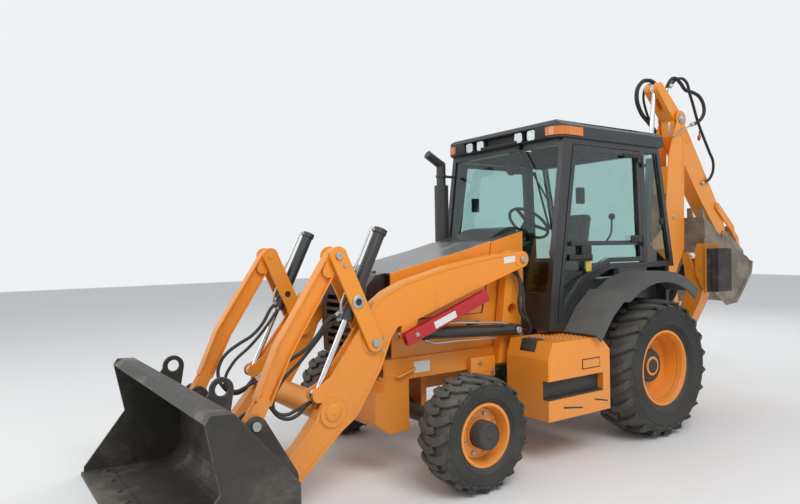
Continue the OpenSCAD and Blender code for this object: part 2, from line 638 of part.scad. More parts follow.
module bell_plate() difference() {
  link2d(bell_pin, link_top, 62, 62);
  translate(bell_pin) circle(pin_r + pin_c);
  translate(trunnion) circle(24 + pin_c);
}
module bellcranks() color(orange) both() {
  for (y = bell_y) side(y, y + ear_t) bell_plate();
  // The pin at the top is left out between the plates, where the link's eye may drift
  pin(link_top, pin_r, bell_y[0] - 5, bell_y[0] + 1);
  pin(link_top, pin_r, bell_y[1] + ear_t - 1, bell_y[1] + ear_t + 5);
}
link_knee = [3415, 1064];
module tilt_links() color(orange) both() difference() {
  union() {
    side(arm_mid - 38, arm_mid + 38) {
      link2d(link_top, [3090, 1553], 52, 44);
      link2d([3560, 750], link_low, 44, 50);
    }
    side(arm_mid - 55.2, arm_mid + 55.2) translate(link_top) circle(46);
    side(ear_y[0] + ear_t + pin_c, ear_y[1] - pin_c) translate(link_low) circle(44);
    side(arm_mid - 12, arm_mid + 12) {
      link2d(link_top, link_knee, 44, 52);
      link2d(link_knee, link_low, 52, 44);
    }
    for (k = [-1, 1]) side(arm_mid - 38, arm_mid + 38)
      polygon(sheet([link_top, link_knee, [3560, 750]] + k * [[40, 20], [44, 20], [38, 18]], k * 12));
  }
  pin(link_top, pin_r + pin_c, arm_mid - 70, arm_mid + 70);
  pin(link_low, pin_r + pin_c, arm_mid - 70, arm_mid + 70);
}
tilt_len = norm(tilt_eye - trunnion);
tilt_top = 547;
module tilt_barrels() color(black) both() along(trunnion, tilt_eye, arm_mid) {
  difference() {
    translate([0, 0, -tilt_top]) cylinder(r = tilt_r, h = tilt_top + 135);
    translate([0, 0, -tilt_top + 30]) cylinder(r = 20 + rod_c, h = tilt_top + 200);
  }
  for (s = [-1, 1]) rotate([s * 90, 0, 0]) translate([0, 0, tilt_r - 6])
    cylinder(r = 24, h = arm_w / 2 + arm_gap + ear_t + 3 - tilt_r + 6);
}
module tilt_rods() color(chrome) both() along(trunnion, tilt_eye, arm_mid)
  rod(-150, tilt_len, 20, 42, pin_r + 1, 44);
lift_len = norm(lift_eye - lift_base);
module lift_barrels() color(black) both() along(lift_base, lift_eye, arm_mid)
  barrel(940, lift_r, 24 + rod_c, 48, pin_r + pin_c, 88);
module lift_rods() color(chrome) both() along(lift_base, lift_eye, arm_mid)
  rod(110, lift_len, 24, 44, pin_r + 1, 44);

// Loader bucket, flat on the ground

heel_r = 180;
bucket_line = concat([[front_tip - 150, 0]], rev(arc([3571 + heel_r, heel_r], heel_r, 180, 270, 6)),
  [[3571, 417], [3943, 858], [4040, 866], [4097, 822]]);
bucket_side = concat([[front_tip - 60, 0]], rev(arc([3571 + heel_r, heel_r], heel_r, 180, 270, 6)),
  [[3571, 417], [3943, 858], [4068, 866], [4097, 822], [4022, 451], [front_tip - 20, 60],
    [front_tip - 20, 20]]);
ear_y = [arm_y - arm_w - 15 - ear_t, arm_y + 12];
module bucket_ear() {
  translate(bucket_pin) circle(78);
  translate(link_low) circle(62);
  polygon([[3360, 300], [3572, 664], [3690, 640], [3870, 780], [3640, 506], [3580, 430], [3580, 170],
    [3450, 186]]);
}
hook_x = [3720, 3900];
module lift_hook() difference() {
  union() {
    translate([3800, 860]) circle(75);
    polygon([[3760, 640], [3725, 850], [3875, 850], [3920, 790]]);
  }
  translate([3800, 862]) circle(42);
}
module loader_bucket() color(worn) {
  side(-bucket_y + bucket_t, bucket_y - bucket_t) polygon(sheet(bucket_line, -bucket_t));
  both() side(bucket_y - bucket_t, bucket_y) polygon(bucket_side);
  block([front_tip - 210, front_tip], [-bucket_y, bucket_y], [0, 25]);
  both() {
    for (y = ear_y) side(y, y + ear_t) bucket_ear();
    pin(bucket_pin, 30, ear_y[0] - 6, ear_y[1] + ear_t + 6);
    pin(link_low, pin_r, ear_y[0] - 6, ear_y[1] + ear_t + 6);
    side(505, 525) lift_hook();
  }
}

// Backhoe

tower_z = [ear_low[1] + 5, ear_high[0] - 5];
mast_y = [56, 76];
foot_y = boom_y + 8;
module swing_tower() color(orange) {
  difference() {
    union() {
      flat(tower_z[0], tower_z[1]) {
        translate([-swing_x, 0]) circle(95);
        polygon([[-swing_x, -94], [-swing_x, 94], [-swing_x - 60, foot_y + plate_t],
          [-swing_x - 60, -foot_y - plate_t]]);
      }
      both() side(foot_y, foot_y + plate_t) {
        translate(boom_foot) circle(90);
        polygon([[-swing_x - 40, tower_z[0]], [-swing_x - 60, tower_z[0]], boom_foot + [20, -88],
          boom_foot + [20, 88], [-swing_x - 60, tower_z[1]], [-swing_x - 40, tower_z[1]]]);
      }
      side(-mast_y[0] - 1, mast_y[0] + 1) polygon([[-swing_x - 50, tower_z[0] + 60], boom_foot + [0, -60],
        boom_foot + [-50, 0], boom_foot + [0, 80], [-swing_x - 50, tower_z[1] - 15]]);
    }
    flat(tower_z[0] - 1, tower_z[1] + 1) translate([-swing_x, 0]) circle(king_r + pin_c);
    both() side(boom_y - boom_t - 6, boom_y + 6) translate(boom_foot) circle(112);
  }
  // Mast over the upper ear that carries the foot of the boom's cylinder
  both() side(mast_y[0], mast_y[1]) {
    translate(boom_base) circle(55);
    polygon([boom_base + [-10, 54], [-1640, 1000], boom_foot + [-60, 0], boom_foot + [0, -60], [-1545, 860],
      [-1545, ear_high[1] + 10], boom_base + [10, -54]]);
  }
  pin(boom_base, pin_r, -mast_y[1] - 4, mast_y[1] + 4);
  pin(boom_foot, 32, -boom_y - 14 - plate_t, boom_y + 14 + plate_t);
}
boom_line = [[-1535, 735], [-1570, 1000], [-1450, 1330], [-1415, 1900], [-1500, 2650], [-1690, 3120],
  [-1830, 3120], [-1806, 2657], [-1780, 1640], [-1612, 1360], [-1680, 820]];
fork_z = 2560;
boom_press = [[-1535, 2410], [-1520, 2570], [-1610, 2880], [-1735, 2950], [-1795, 2900], [-1782, 2640],
  [-1778, 2410], [-1745, 2370], [-1560, 2370]];
module boom() color(orange) {
  difference() {
    side(-boom_y, boom_y) {
      polygon(boom_line);
      translate(boom_foot) circle(88);
      translate(boom_tip) circle(92);
      polygon([dipper_base + [50, -28], dipper_base + [50, 28], [-1430, 1900], [-1430, 1500]]);
      translate(dipper_base) circle(56);
    }
    // Box open at the front below for its cylinder, and a fork at each end
    side(boom_t - boom_y, boom_y - boom_t) {
      polygon([[-1100, 600], [-1100, 2250], [-1465, 2250], [-1498, fork_z], [-1100, fork_z],
        [-1100, 3400], [-2000, 3400], [-2000, fork_z], [-1792, fork_z], [-1768, 1646], [-1600, 1366],
        [-1600, 1320], [-2000, 1320], [-2000, 600]]);
    }
    pin(boom_foot, 32 + pin_c, -boom_y - 1, boom_y + 1);
    both() side(boom_y - 4, boom_y + 1) polygon(boom_press);
  }
  pin(boom_tip, 32, -boom_y - 6, boom_y + 6);
  pin(dipper_base, pin_r, -boom_y - 5, boom_y + 5);
  both() pin(boom_ear, 34, boom_y, boom_y + 6);
}
dip_y = 85;
dip_dir = unit(dipper_tip - boom_tip);
dip_n = [-dip_dir[1], dip_dir[0]];
// Point on the dipper: u along it from the boom's tip, v towards the boom
function dip(u, v) = boom_tip + u * dip_dir + v * dip_n;
dip_len = norm(dipper_tip - boom_tip);
guide_pin = dip(dip_len - 380, -80);
curl_base = dip(300, 0);
module dipper() color(orange) {
  difference() {
    side(-dip_y, dip_y) {
      polygon([dip(-60, 80), dip(120, 165), dip(454, 212), dip(1000, 165), dip(dip_len - 20, 72),
        dip(dip_len + 10, -60), dip(dip_len - 200, -128), dip(281, -84), dip(-60, -60)]);
      link2d(boom_tip, dipper_ear, 85, 62);
      translate(dipper_tip) circle(72);
    }
    pin(boom_tip, 32 + pin_c, -dip_y - 1, dip_y + 1);
    pin(dipper_tip, 28 + pin_c, -dip_y - 1, dip_y + 1);
    // Channel for the curl cylinder, open at the back, and the fork for the rod above
    side(-60, 60) polygon([dip(200, -200), dip(200, 80), dip(dip_len - 330, 80), dip(dip_len - 130, -40),
      dip(dip_len - 130, -200)]);
    side(-30, 30) translate(dipper_ear) polygon([[-150, -260], [-190, -120], [-170, -20], [-60, 100],
      [100, 100], [260, 60], [260, -260]]);
  }
  pin(curl_base, pin_r, -dip_y - 4, dip_y + 4);
  pin(guide_pin, pin_r, -dip_y - 30, dip_y + 30);
}

// Digging bucket, curled up against the dipper

dig_line = [[-2276, 1737], [-2825, 1519], [-2897, 1471], [-2875, 1350], [-2709, 1180], [-2546, 1024],
  [-2340, 1009], [-2120, 1150], [-1975, 1450], [-1905, 1750], [-1885, 1990]];
dig_t = 14;
dig_ear = [dip_y + 8, dip_y + 24];
tooth_n = 5;
module digging_bucket() color(worn) {
  side(dig_t - dig_y, dig_y - dig_t) polygon(sheet(dig_line, dig_t));
  both() side(dig_y - dig_t, dig_y) polygon(concat(dig_line, [[-1960, 1950], [-2200, 1800]]));
  both() side(dig_y - 1, dig_y + 9) polygon(sheet([for (i = [2:9]) dig_line[i]], -46));
  both() side(dig_ear[0], dig_ear[1]) {
    translate(dipper_tip) circle(66);
    translate(dig_link) circle(dig_eye_r);
    polygon([dipper_tip + [60, -20], [-2520, 1650], [-2276, 1745], [-2825, 1515], [-2900, 1470],
      dig_link + [-20, -48], dig_link + [-30, 44], dipper_tip + [-30, 60]]);
  }
  pin(dipper_tip, 28, -dig_ear[1] - 6, dig_ear[1] + 6);
  both() pin(dig_link, 30, dig_ear[1], dig_ear[1] + 6);
  for (i = [0:tooth_n - 1]) {
    y = -dig_y + 30 + i * (2 * dig_y - 60) / (tooth_n - 1);
    side(y - 28, y + 28) polygon([[-1925, 1960], [-1900, 1900], [-1865, 2000], [-1865, 2098], [-1900, 2030]]);
  }
}
module guide_links() color(orange) {
  both() side(dip_y + 6, dip_y + 22) difference() {
    link2d(guide_pin, guide_end, 45, 45);
    translate(guide_pin) circle(pin_r + pin_c);
  }
  // Two pin ends, open between them for the eye of the curl cylinder's rod
  both() pin(guide_end, pin_r, 46, dip_y + 28);
}
push_side = unit(dig_link - guide_end);
push_up = [push_side[1], -push_side[0]];
module push_link() color(orange) difference() {
  mid = (guide_end + dig_link) / 2;
  side(-dip_y + 2, dip_y - 2) {
    translate(guide_end) circle(44);
    translate(dig_link) circle(46);
    polygon([guide_end + push_up * 42, mid + push_up * 92, dig_link + push_up * 44,
      dig_link - push_up * 20, mid + push_up * 30, guide_end - push_up * 20]);
  }
  side(-50, 50) translate(guide_end) circle(70);
  pin(guide_end, pin_r + pin_c, -200, 200);
  pin(dig_link, pin_r + pin_c, -200, 200);
}
boom_len = norm(boom_ear - boom_base);
module boom_barrel() color(black) along(boom_base, boom_ear, 0)
  barrel(boom_len - 120, 50, 27 + rod_c, 52, pin_r + pin_c, 104);
module boom_rod() color(chrome) along(boom_base, boom_ear, 0)
  rod(120, boom_len, 27, 45, pin_r + 1, 60);
dipper_cyl = norm(dipper_ear - dipper_base);
module dipper_barrel() color(black) along(dipper_base, dipper_ear, 0)
  barrel(960, 48, 25 + rod_c, 50, pin_r + pin_c, 110);
module dipper_rod() color(chrome) along(dipper_base, dipper_ear, 0)
  rod(820, dipper_cyl, 25, 46, pin_r + 1, 50);
curl_len = norm(guide_end - curl_base);
module curl_barrel() color(black) along(curl_base, guide_end, 0)
  barrel(760, 42, 22 + rod_c, 46, pin_r + pin_c, 90);
module curl_rod() color(chrome) along(curl_base, guide_end, 0)
  rod(625, curl_len, 22, 42, pin_r + 1, 80);

// Stabilisers

stab_arm_x = 72;
stab_ear_x = [82, 98];
module stabiliser() across(-stab_x - stab_arm_x, -stab_x + stab_arm_x) difference() {
  union() {
    link2d(stab_pivot, stab_end, 70, 55);
    polygon([[480, 700], [640, 1120], [700, 1400], [800, 1440], [880, 1400], [800, 1120], [560, 640]]);
  }
  translate(stab_pivot) circle(pin_r + pin_c);
}
module stabiliser_ears() for (s = [-1, 1]) across(-stab_x + s * 62 - 10, -stab_x + s * 62 + 10) {
  translate(stab_eye) circle(45);
  polygon([stab_eye + [-30, -33], [660, 1300], [760, 1400], stab_eye + [20, 40]]);
}
module stabiliser_full() {
  stabiliser();
  stabiliser_ears();
  across(-stab_x - stab_ear_x[1] - 4, -stab_x + stab_ear_x[1] + 4) translate(stab_end) circle(pin_r);
}
pad_y = 895;
// Laminations of the pad's rubber as [inner face, outer face, how far its edge stands back]
pad_layers = [[10, 54, 10], [54, 66, 16], [66, 98, 8], [98, 108, 16], [108, 128, 12]];
module pad() {
  for (s = [-1, 1]) across(-stab_x + (s > 0 ? stab_ear_x[0] : -stab_ear_x[1]),
                           -stab_x + (s > 0 ? stab_ear_x[1] : -stab_ear_x[0])) difference() {
    polygon([[775, 1640], [800, 1690], [pad_y, 1690], [pad_y, 1215], [860, 1215], [775, 1400]]);
    translate(stab_end) circle(pin_r + pin_c);
  }
  block([-stab_x - pad_x, -stab_x + pad_x], [pad_y, pad_y + 12], [1215, 1690]);
  for (q = pad_layers) block([-stab_x - pad_x + q[2], -stab_x + pad_x - q[2]],
    [pad_y + q[0], pad_y + q[1]], [1215 + q[2], 1650 - q[2]]);
}
stab_len = norm(stab_eye - stab_base);
module stabiliser_barrel() along_rear(stab_base, stab_eye, -stab_x) rotate([0, 0, 90])
  barrel(stab_len - 90, 42, 22 + rod_c, 44, pin_r + pin_c, 120);
module stabiliser_rod() along_rear(stab_base, stab_eye, -stab_x) rotate([0, 0, 90])
  rod(160, stab_len, 22, 40, pin_r + 1, 80);
module stabiliser_left() color(orange) stabiliser_full();
module stabiliser_right() color(orange) mirror([0, 1, 0]) stabiliser_full();
module pad_left() color(black) pad();
module pad_right() color(black) mirror([0, 1, 0]) pad();
module stabiliser_barrel_left() color(black) stabiliser_barrel();
module stabiliser_barrel_right() color(black) mirror([0, 1, 0]) stabiliser_barrel();
module stabiliser_rod_left() color(chrome) stabiliser_rod();
module stabiliser_rod_right() color(chrome) mirror([0, 1, 0]) stabiliser_rod();

// The machine's own origin is on the ground, halfway between its front and rear ends
module placed() translate([-mid_x, 0, 0]) children();

placed() chassis_frame();
placed() engine_block();
placed() hood();
placed() cowlings();
placed() cab_frame();
placed() cab_roof();
placed() cab_glass();
placed() door_left();
placed() door_right();
placed() door_glass_left();
placed() door_glass_right();
placed() seat();
placed() fenders();
placed() side_boxes();
placed() exhaust();
placed() front_axle();
placed() rear_axle();
placed() knuckle_left();
placed() knuckle_right();
placed() tyre_front_left();
placed() tyre_front_right();
placed() tyre_rear_left();
placed() tyre_rear_right();
placed() rim_front_left();
placed() rim_front_right();
placed() rim_rear_left();
placed() rim_rear_right();
placed() lamps();
placed() markers();
placed() steering_wheel();
placed() hood_panel();
placed() lift_arms();
placed() safety_strut();
placed() bellcranks();
placed() tilt_links();
placed() tilt_barrels();
placed() tilt_rods();
placed() lift_barrels();
placed() lift_rods();
placed() loader_bucket();
placed() swing_tower();
placed() boom();
placed() dipper();
placed() digging_bucket();
placed() boom_barrel();
placed() boom_rod();
placed() dipper_barrel();
placed() dipper_rod();
placed() curl_barrel();
placed() curl_rod();
placed() guide_links();
placed() push_link();
placed() stabiliser_left();
placed() stabiliser_right();
placed() pad_left();
placed() pad_right();
placed() stabiliser_barrel_left();
placed() stabiliser_barrel_right();
placed() stabiliser_rod_left();
placed() stabiliser_rod_right();
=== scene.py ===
"""A backhoe loader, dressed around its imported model."""
import json
import math
from contextlib import contextmanager

import bpy
from mathutils import Matrix, Vector


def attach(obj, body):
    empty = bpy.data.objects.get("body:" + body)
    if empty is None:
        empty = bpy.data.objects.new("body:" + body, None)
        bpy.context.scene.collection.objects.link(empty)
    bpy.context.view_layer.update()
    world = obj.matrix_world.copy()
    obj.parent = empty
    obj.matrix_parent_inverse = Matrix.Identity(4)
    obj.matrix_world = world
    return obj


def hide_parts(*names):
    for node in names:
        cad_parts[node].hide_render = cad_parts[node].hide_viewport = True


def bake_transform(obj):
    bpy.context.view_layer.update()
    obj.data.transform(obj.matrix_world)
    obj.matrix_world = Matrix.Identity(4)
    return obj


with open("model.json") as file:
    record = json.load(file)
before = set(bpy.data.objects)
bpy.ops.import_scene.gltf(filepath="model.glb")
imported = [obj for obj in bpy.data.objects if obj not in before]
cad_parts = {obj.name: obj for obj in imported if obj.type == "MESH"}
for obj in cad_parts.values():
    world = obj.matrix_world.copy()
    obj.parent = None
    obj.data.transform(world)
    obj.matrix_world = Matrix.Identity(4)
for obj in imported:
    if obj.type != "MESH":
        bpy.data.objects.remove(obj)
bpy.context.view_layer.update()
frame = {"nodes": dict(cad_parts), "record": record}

bl_info = {
    "name": "Backhoe Loader",
    "version": (1, 0, 0),
    "blender": (4, 5, 0),
    "location": "3D View > Sidebar > Backhoe Loader",
    "description": "Finishes and small parts of a backhoe loader",
    "category": "Add Mesh",
}

NODES = frame["nodes"]
MID_X = 0.6155  # the rear axle stands this far behind the origin


def at(x, y, z):
    """A place measured from the ground under the rear axle, in millimetres."""
    return Vector((x / 1000 - MID_X, y / 1000, z / 1000))


# Shader maths written as Python expressions

class Val:
    """A socket's value, which can be added, multiplied and so on."""

    def __init__(self, nodes, socket):
        self.nodes, self.socket = nodes, socket

    def math(self, operation, other=None, swap=False):
        values = [v for v in ((other, self) if swap else (self, other)) if v is not None]
        return self.nodes.node("ShaderNodeMath", {"operation": operation}, dict(enumerate(values)))

    def __add__(self, other):
        return self.math("ADD", other)

    __radd__ = __add__

    def __sub__(self, other):
        return self.math("SUBTRACT", other)

    def __rsub__(self, other):
        return self.math("SUBTRACT", other, swap=True)

    def __mul__(self, other):
        return self.math("MULTIPLY", other)

    __rmul__ = __mul__

    def most(self, other):
        return self.math("MAXIMUM", other)

    def least(self, other):
        return self.math("MINIMUM", other)

    def step(self, low, high):
        """0 below low, 1 above high and smooth between; low may be above high."""
        return self.nodes.node("ShaderNodeMapRange", {"interpolation_type": "SMOOTHSTEP"},
                               {"Value": self, "From Min": low, "From Max": high})


class Nodes:
    """A node tree that is filled one node at a time."""

    def __init__(self, tree):
        self.tree = tree
        tree.nodes.clear()

    def node(self, kind, settings=None, inputs=None, out=0):
        """One node: its settings are set first, then the values or links of its sockets."""
        made = self.tree.nodes.new(kind)
        for key, value in (settings or {}).items():
            setattr(made, key, value)
        for key, value in (inputs or {}).items():
            self.feed(made.inputs[key], value)
        return Val(self, made.outputs[out]) if made.outputs else made

    def feed(self, socket, value):
        if isinstance(value, Val):
            self.tree.links.new(value.socket, socket)
        elif isinstance(value, tuple) and len(value) == 3 and socket.type == "RGBA":
            socket.default_value = (*value, 1.0)
        else:
            socket.default_value = value


class Finish(Nodes):
    """A procedural material around one Principled shader."""

    def __init__(self, name, roughness=0.5, metallic=0.0, **fixed):
        self.material = bpy.data.materials.new(name)
        self.material.use_nodes = True
        super().__init__(self.material.node_tree)
        self.shader = self.tree.nodes.new("ShaderNodeBsdfPrincipled")
        self.node("ShaderNodeOutputMaterial", inputs={"Surface": Val(self, self.shader.outputs[0])})
        self.set(Roughness=roughness, Metallic=metallic, **fixed)
        self.place = self.node("ShaderNodeTexCoord", out="Object")
        self.facing = self.node("ShaderNodeTexCoord", out="Normal")

    def set(self, **sockets):
        for key, value in sockets.items():
            self.feed(self.shader.inputs[key.replace("_", " ")], value)

    def axis(self, name, vector=None):
        return self.node("ShaderNodeSeparateXYZ", inputs={0: vector or self.place}, out=name)

    def stretched(self, scale):
        return self.node("ShaderNodeMapping", inputs={"Vector": self.place, "Scale": scale})

    def noise(self, scale, detail=4.0, rough=0.55, vector=None):
        return self.node("ShaderNodeTexNoise", inputs={
            "Vector": vector or self.place, "Scale": scale, "Detail": detail, "Roughness": rough})

    def waves(self, scale, direction="Y", distortion=0.0):
        """Straight bands across a direction."""
        return self.node("ShaderNodeTexWave", {"wave_type": "BANDS", "bands_direction": direction},
                         {"Vector": self.place, "Scale": scale, "Distortion": distortion})

    def mix(self, factor, a, b):
        """Colour a where factor is 0 and b where it is 1."""
        return self.node("ShaderNodeMix", {"data_type": "RGBA"}, {0: factor, 6: a, 7: b}, out=2)

    def bump(self, height, strength, distance=0.002, normal=None):
        links = {"Height": height, "Strength": strength, "Distance": distance}
        if normal is not None:
            links["Normal"] = normal
        return self.node("ShaderNodeBump", inputs=links)

    def rounded(self, radius):
        """Normals as if edges were rounded to the radius."""
        return self.node("ShaderNodeBevel", {"samples": 4}, {"Radius": radius})

    def edges(self, radius):
        """1 near an edge, 0 on flat ground."""
        soft = self.rounded(radius)
        sharp = self.node("ShaderNodeNewGeometry", out="Normal")
        dot = {"operation": "DOT_PRODUCT"}
        return self.node("ShaderNodeVectorMath", dot, {0: soft, 1: sharp}, out="Value").step(0.995, 0.86)

    def dust(self, amount, low=0.3, high=1.6):
        """Settled dust: thicker low down, on upward faces and in blotches."""
        height = self.axis("Z").step(high, low)
        up = self.axis("Z", self.facing).step(0.2, 0.95)
        blotch = self.noise(3.1, 6.0, 0.62)
        fine = self.noise(38.0, 5.0, 0.7)
        cover = (height * 0.75 + up * 0.45 + 0.12) * (blotch * 1.3 + 0.1) * (fine * 0.9 + 0.45)
        return (cover * amount).least(1.0)


def linear(code):
    """A colour written as six hex digits, in linear light."""
    parts = [int(code[i:i + 2], 16) / 255 for i in (0, 2, 4)]
    return tuple(c / 12.92 if c <= 0.04045 else ((c + 0.055) / 1.055) ** 2.4 for c in parts)


ORANGE = "f2931c"
DUST = linear("958c7e")
MUD = linear("66594a")
PRIMER = linear("4a3a30")


def paint(name, code, dusty, chips=0.5, gloss=0.36):
    """Sprayed enamel: slight fade, orange peel, scuffs, chipped edges and dust."""
    f = Finish(name, Coat_Weight=0.25, Coat_Roughness=0.22)
    base = linear(code)
    faded = tuple(min(1.0, c * 0.86 + 0.035) for c in base)
    fade = f.noise(1.7, 3.0, 0.5).step(0.35, 0.7)
    colour = f.mix(fade * 0.3, base, faded)
    streak = f.noise(9.0, 5.0, 0.6, f.stretched((1.0, 1.0, 0.16))).step(0.56, 0.78)
    colour = f.mix(streak * 0.16, colour, MUD)
    edge = f.edges(0.006)
    wear = f.noise(55.0, 4.0, 0.7)
    chipped = (edge * wear.step(0.52, 0.68)).most(f.noise(21.0, 6.0, 0.75).step(0.735, 0.775)) * chips
    colour = f.mix(chipped, colour, PRIMER)
    dust = f.dust(dusty, 0.3, 1.5)
    colour = f.mix(dust, colour, DUST)
    peel = f.bump(f.noise(420.0, 2.0, 0.5), 0.05, 0.0006, f.rounded(0.004))
    f.set(Base_Color=colour, Roughness=(fade * 0.08 + gloss + dust * 0.45 + chipped * 0.25).least(0.95),
          Normal=f.bump(chipped * -1.0, 0.25, 0.0008, peel),
          Coat_Weight=(0.35 - dust * 0.5 - chipped * 0.35).most(0.0))
    return f.material


def moulded(name, code, dusty, rough=0.55, grain=900.0):
    """Moulded plastic with a fine leather-like grain, greyed by dust and sun."""
    f = Finish(name)
    base = linear(code)
    pale = tuple(min(1.0, c * 1.25 + 0.02) for c in base)
    fade = f.noise(2.4, 4.0, 0.6)
    dust = f.dust(dusty, 0.6, 2.2)
    colour = f.mix(dust, f.mix(fade.step(0.3, 0.75) * 0.5, base, pale), DUST)
    cells = f.node("ShaderNodeTexVoronoi", {"feature": "F1"}, {"Vector": f.place, "Scale": grain})
    f.set(Base_Color=colour, Roughness=(fade * 0.16 + rough + dust * 0.3).least(0.95),
          Normal=f.bump(cells, 0.12, 0.0006, f.rounded(0.005)))
    return f.material


def tyre_rubber():
    """Dark side walls, and a tread dusted pale."""
    f = Finish("tyre_rubber")
    blotch = f.noise(6.0, 6.0, 0.65)
    fine = f.noise(70.0, 5.0, 0.7)
    colour = f.mix(blotch.step(0.32, 0.72), linear("161718"), linear("252626"))
    round_out = f.axis("Y", f.facing)
    tread = (1 - round_out * round_out).step(0.45, 0.95)
    dust = (f.dust(0.3, 0.1, 1.5) + tread * (fine * 0.35 + blotch * 0.4)).least(1.0)
    colour = f.mix(dust * 0.8, colour, linear("7d7971"))
    f.set(Base_Color=colour, Roughness=(fine * 0.15 + 0.74).least(0.95),
          Normal=f.bump(fine, 0.3, 0.0015, f.rounded(0.006)))
    return f.material


def rubber(name, code, dusty):
    """Dull rubber with a fine grain."""
    f = Finish(name)
    fine = f.noise(120.0, 4.0, 0.7)
    dust = f.dust(dusty, 0.3, 2.6)
    pale = tuple(c * 2.2 + 0.003 for c in linear(code))
    f.set(Base_Color=f.mix(dust, f.mix(fine, linear(code), pale), DUST),
          Roughness=(fine * 0.2 + 0.6 + dust * 0.2).least(0.95), Normal=f.bump(fine, 0.2, 0.0008))
    return f.material


# How far from the middle the outer face of a pad's bracket stands, in metres
BRACKET_FACE = 0.907


def pad_layers():
    """A stabiliser's pad: a painted bracket with a block of laminated rubber outside it."""
    f = Finish("pad_layers")
    outer = f.axis("Y").math("ABSOLUTE").step(BRACKET_FACE - 0.0004, BRACKET_FACE + 0.0004)
    fine = f.noise(120.0, 4.0, 0.7)
    grey = f.noise(9.0, 6.0, 0.7).step(0.45, 0.7)
    rubber_side = f.mix(grey * 0.7, linear("1b1b1a"), linear("4c4943"))
    dust = f.dust(0.2, 0.3, 2.6)
    f.set(Base_Color=f.mix(dust, f.mix(outer, linear(ORANGE), rubber_side), DUST),
          Roughness=(outer * 0.3 + fine * 0.15 + 0.36 + dust * 0.3).least(0.95),
          Normal=f.bump(fine * outer, 0.3, 0.001))
    return f.material


def tinted_glass():
    """Green-tinted safety glass with a thin film of dust."""
    f = Finish("tinted_glass", Transmission_Weight=1.0, IOR=1.45, Specular_IOR_Level=0.5)
    film = f.noise(2.2, 6.0, 0.65).step(0.42, 0.8)
    f.set(Base_Color=f.mix(film * 0.3, linear("c6deda"), linear("ccd6d2")), Roughness=0.0)
    return f.material


def chrome():
    """Hard chrome, faintly streaked along the stroke and filmed with oil."""
    f = Finish("chrome_rod", metallic=1.0)
    film = f.noise(14.0, 4.0, 0.6)
    f.set(Base_Color=f.mix(film.step(0.5, 0.85) * 0.5, linear("d9dbde"), linear("98948c")),
          Roughness=film * 0.14 + 0.07)
    return f.material


def worn_steel():
    """Black paint rubbed through by soil to scratched, faintly rusty steel."""
    f = Finish("worn_steel")
    blotch = f.noise(2.3, 7.0, 0.62)
    scratch = f.noise(42.0, 6.0, 0.75, f.stretched((0.3, 3.0, 1.0)))
    inner = f.axis("Z", f.facing).step(-0.2, 0.6)
    bare = (blotch.step(0.5, 0.62) * (0.2 + inner * 0.75) + f.edges(0.008) * 0.8).least(1.0)
    bare = (bare * scratch.step(0.3, 0.6)).least(1.0)
    steel = f.mix(scratch, linear("6b6257"), linear("8a8175"))
    colour = f.mix(bare, linear("141618"), steel)
    rust = f.noise(5.2, 8.0, 0.7).step(0.56, 0.72) * bare
    colour = f.mix(rust * 0.6, colour, linear("6d4a33"))
    dust = f.dust(0.28, 0.0, 1.6)
    colour = f.mix(dust, colour, linear("7f776b"))
    f.set(Base_Color=colour, Metallic=bare * (1 - rust) * (1 - dust) * 0.55,
          Roughness=(0.42 + scratch * 0.2 + dust * 0.3 + rust * 0.3).least(0.95),
          Normal=f.bump(scratch, 0.3, 0.0012, f.rounded(0.004)))
    return f.material


def ground_steel():
    """A digging bucket rubbed pale by soil, with darker blotches of dried clay."""
    f = Finish("ground_steel", metallic=0.25)
    blotch = f.noise(4.2, 7.0, 0.65)
    scratch = f.noise(60.0, 6.0, 0.75, f.stretched((1.0, 1.0, 0.25)))
    rubbed = f.mix(scratch, linear("877e6f"), linear("aea391"))
    colour = f.mix(blotch.step(0.3, 0.75), linear("696358"), rubbed)
    rust = f.noise(7.0, 8.0, 0.7).step(0.58, 0.74)
    colour = f.mix(rust * 0.5, colour, linear("6a4a36"))
    f.set(Base_Color=colour, Roughness=(scratch * 0.25 + 0.45 + rust * 0.2).least(0.95),
          Normal=f.bump(scratch, 0.35, 0.0015, f.rounded(0.004)))
    return f.material


def zinc():
    """Bright plated steel for nuts, pipes and fittings."""
    f = Finish("zinc_plate", metallic=0.9)
    spangle = f.noise(90.0, 3.0, 0.6)
    dust = f.dust(0.4, 0.3, 2.0)
    f.set(Base_Color=f.mix(dust, f.mix(spangle, linear("a9aaa8"), linear("c9cac6")), DUST),
          Roughness=spangle * 0.2 + 0.28 + dust * 0.3)
    return f.material


def cast_iron():
    """Bare iron with open pores."""
    f = Finish("engine_iron", metallic=0.3)
    pores = f.noise(160.0, 5.0, 0.7)
    f.set(Base_Color=f.mix(f.dust(0.8, 0.3, 1.6), f.mix(pores, linear("3a3b3c"), linear("55544f")), DUST),
          Roughness=pores * 0.2 + 0.6, Normal=f.bump(pores, 0.4, 0.001))
    return f.material


def seat_fabric():
    """Coarse woven cloth with two tones of thread."""
    f = Finish("seat_fabric", roughness=0.9, Sheen_Weight=0.25)
    cloth = f.waves(260.0, "X", 1.5) * f.waves(260.0, "Z", 1.5)
    worn = f.noise(9.0, 4.0, 0.6)
    f.set(Base_Color=f.mix(cloth, linear("2b2d30"), f.mix(worn, linear("4b4e52"), linear("5f5f5c"))),
          Normal=f.bump(cloth, 0.4, 0.0008))
    return f.material


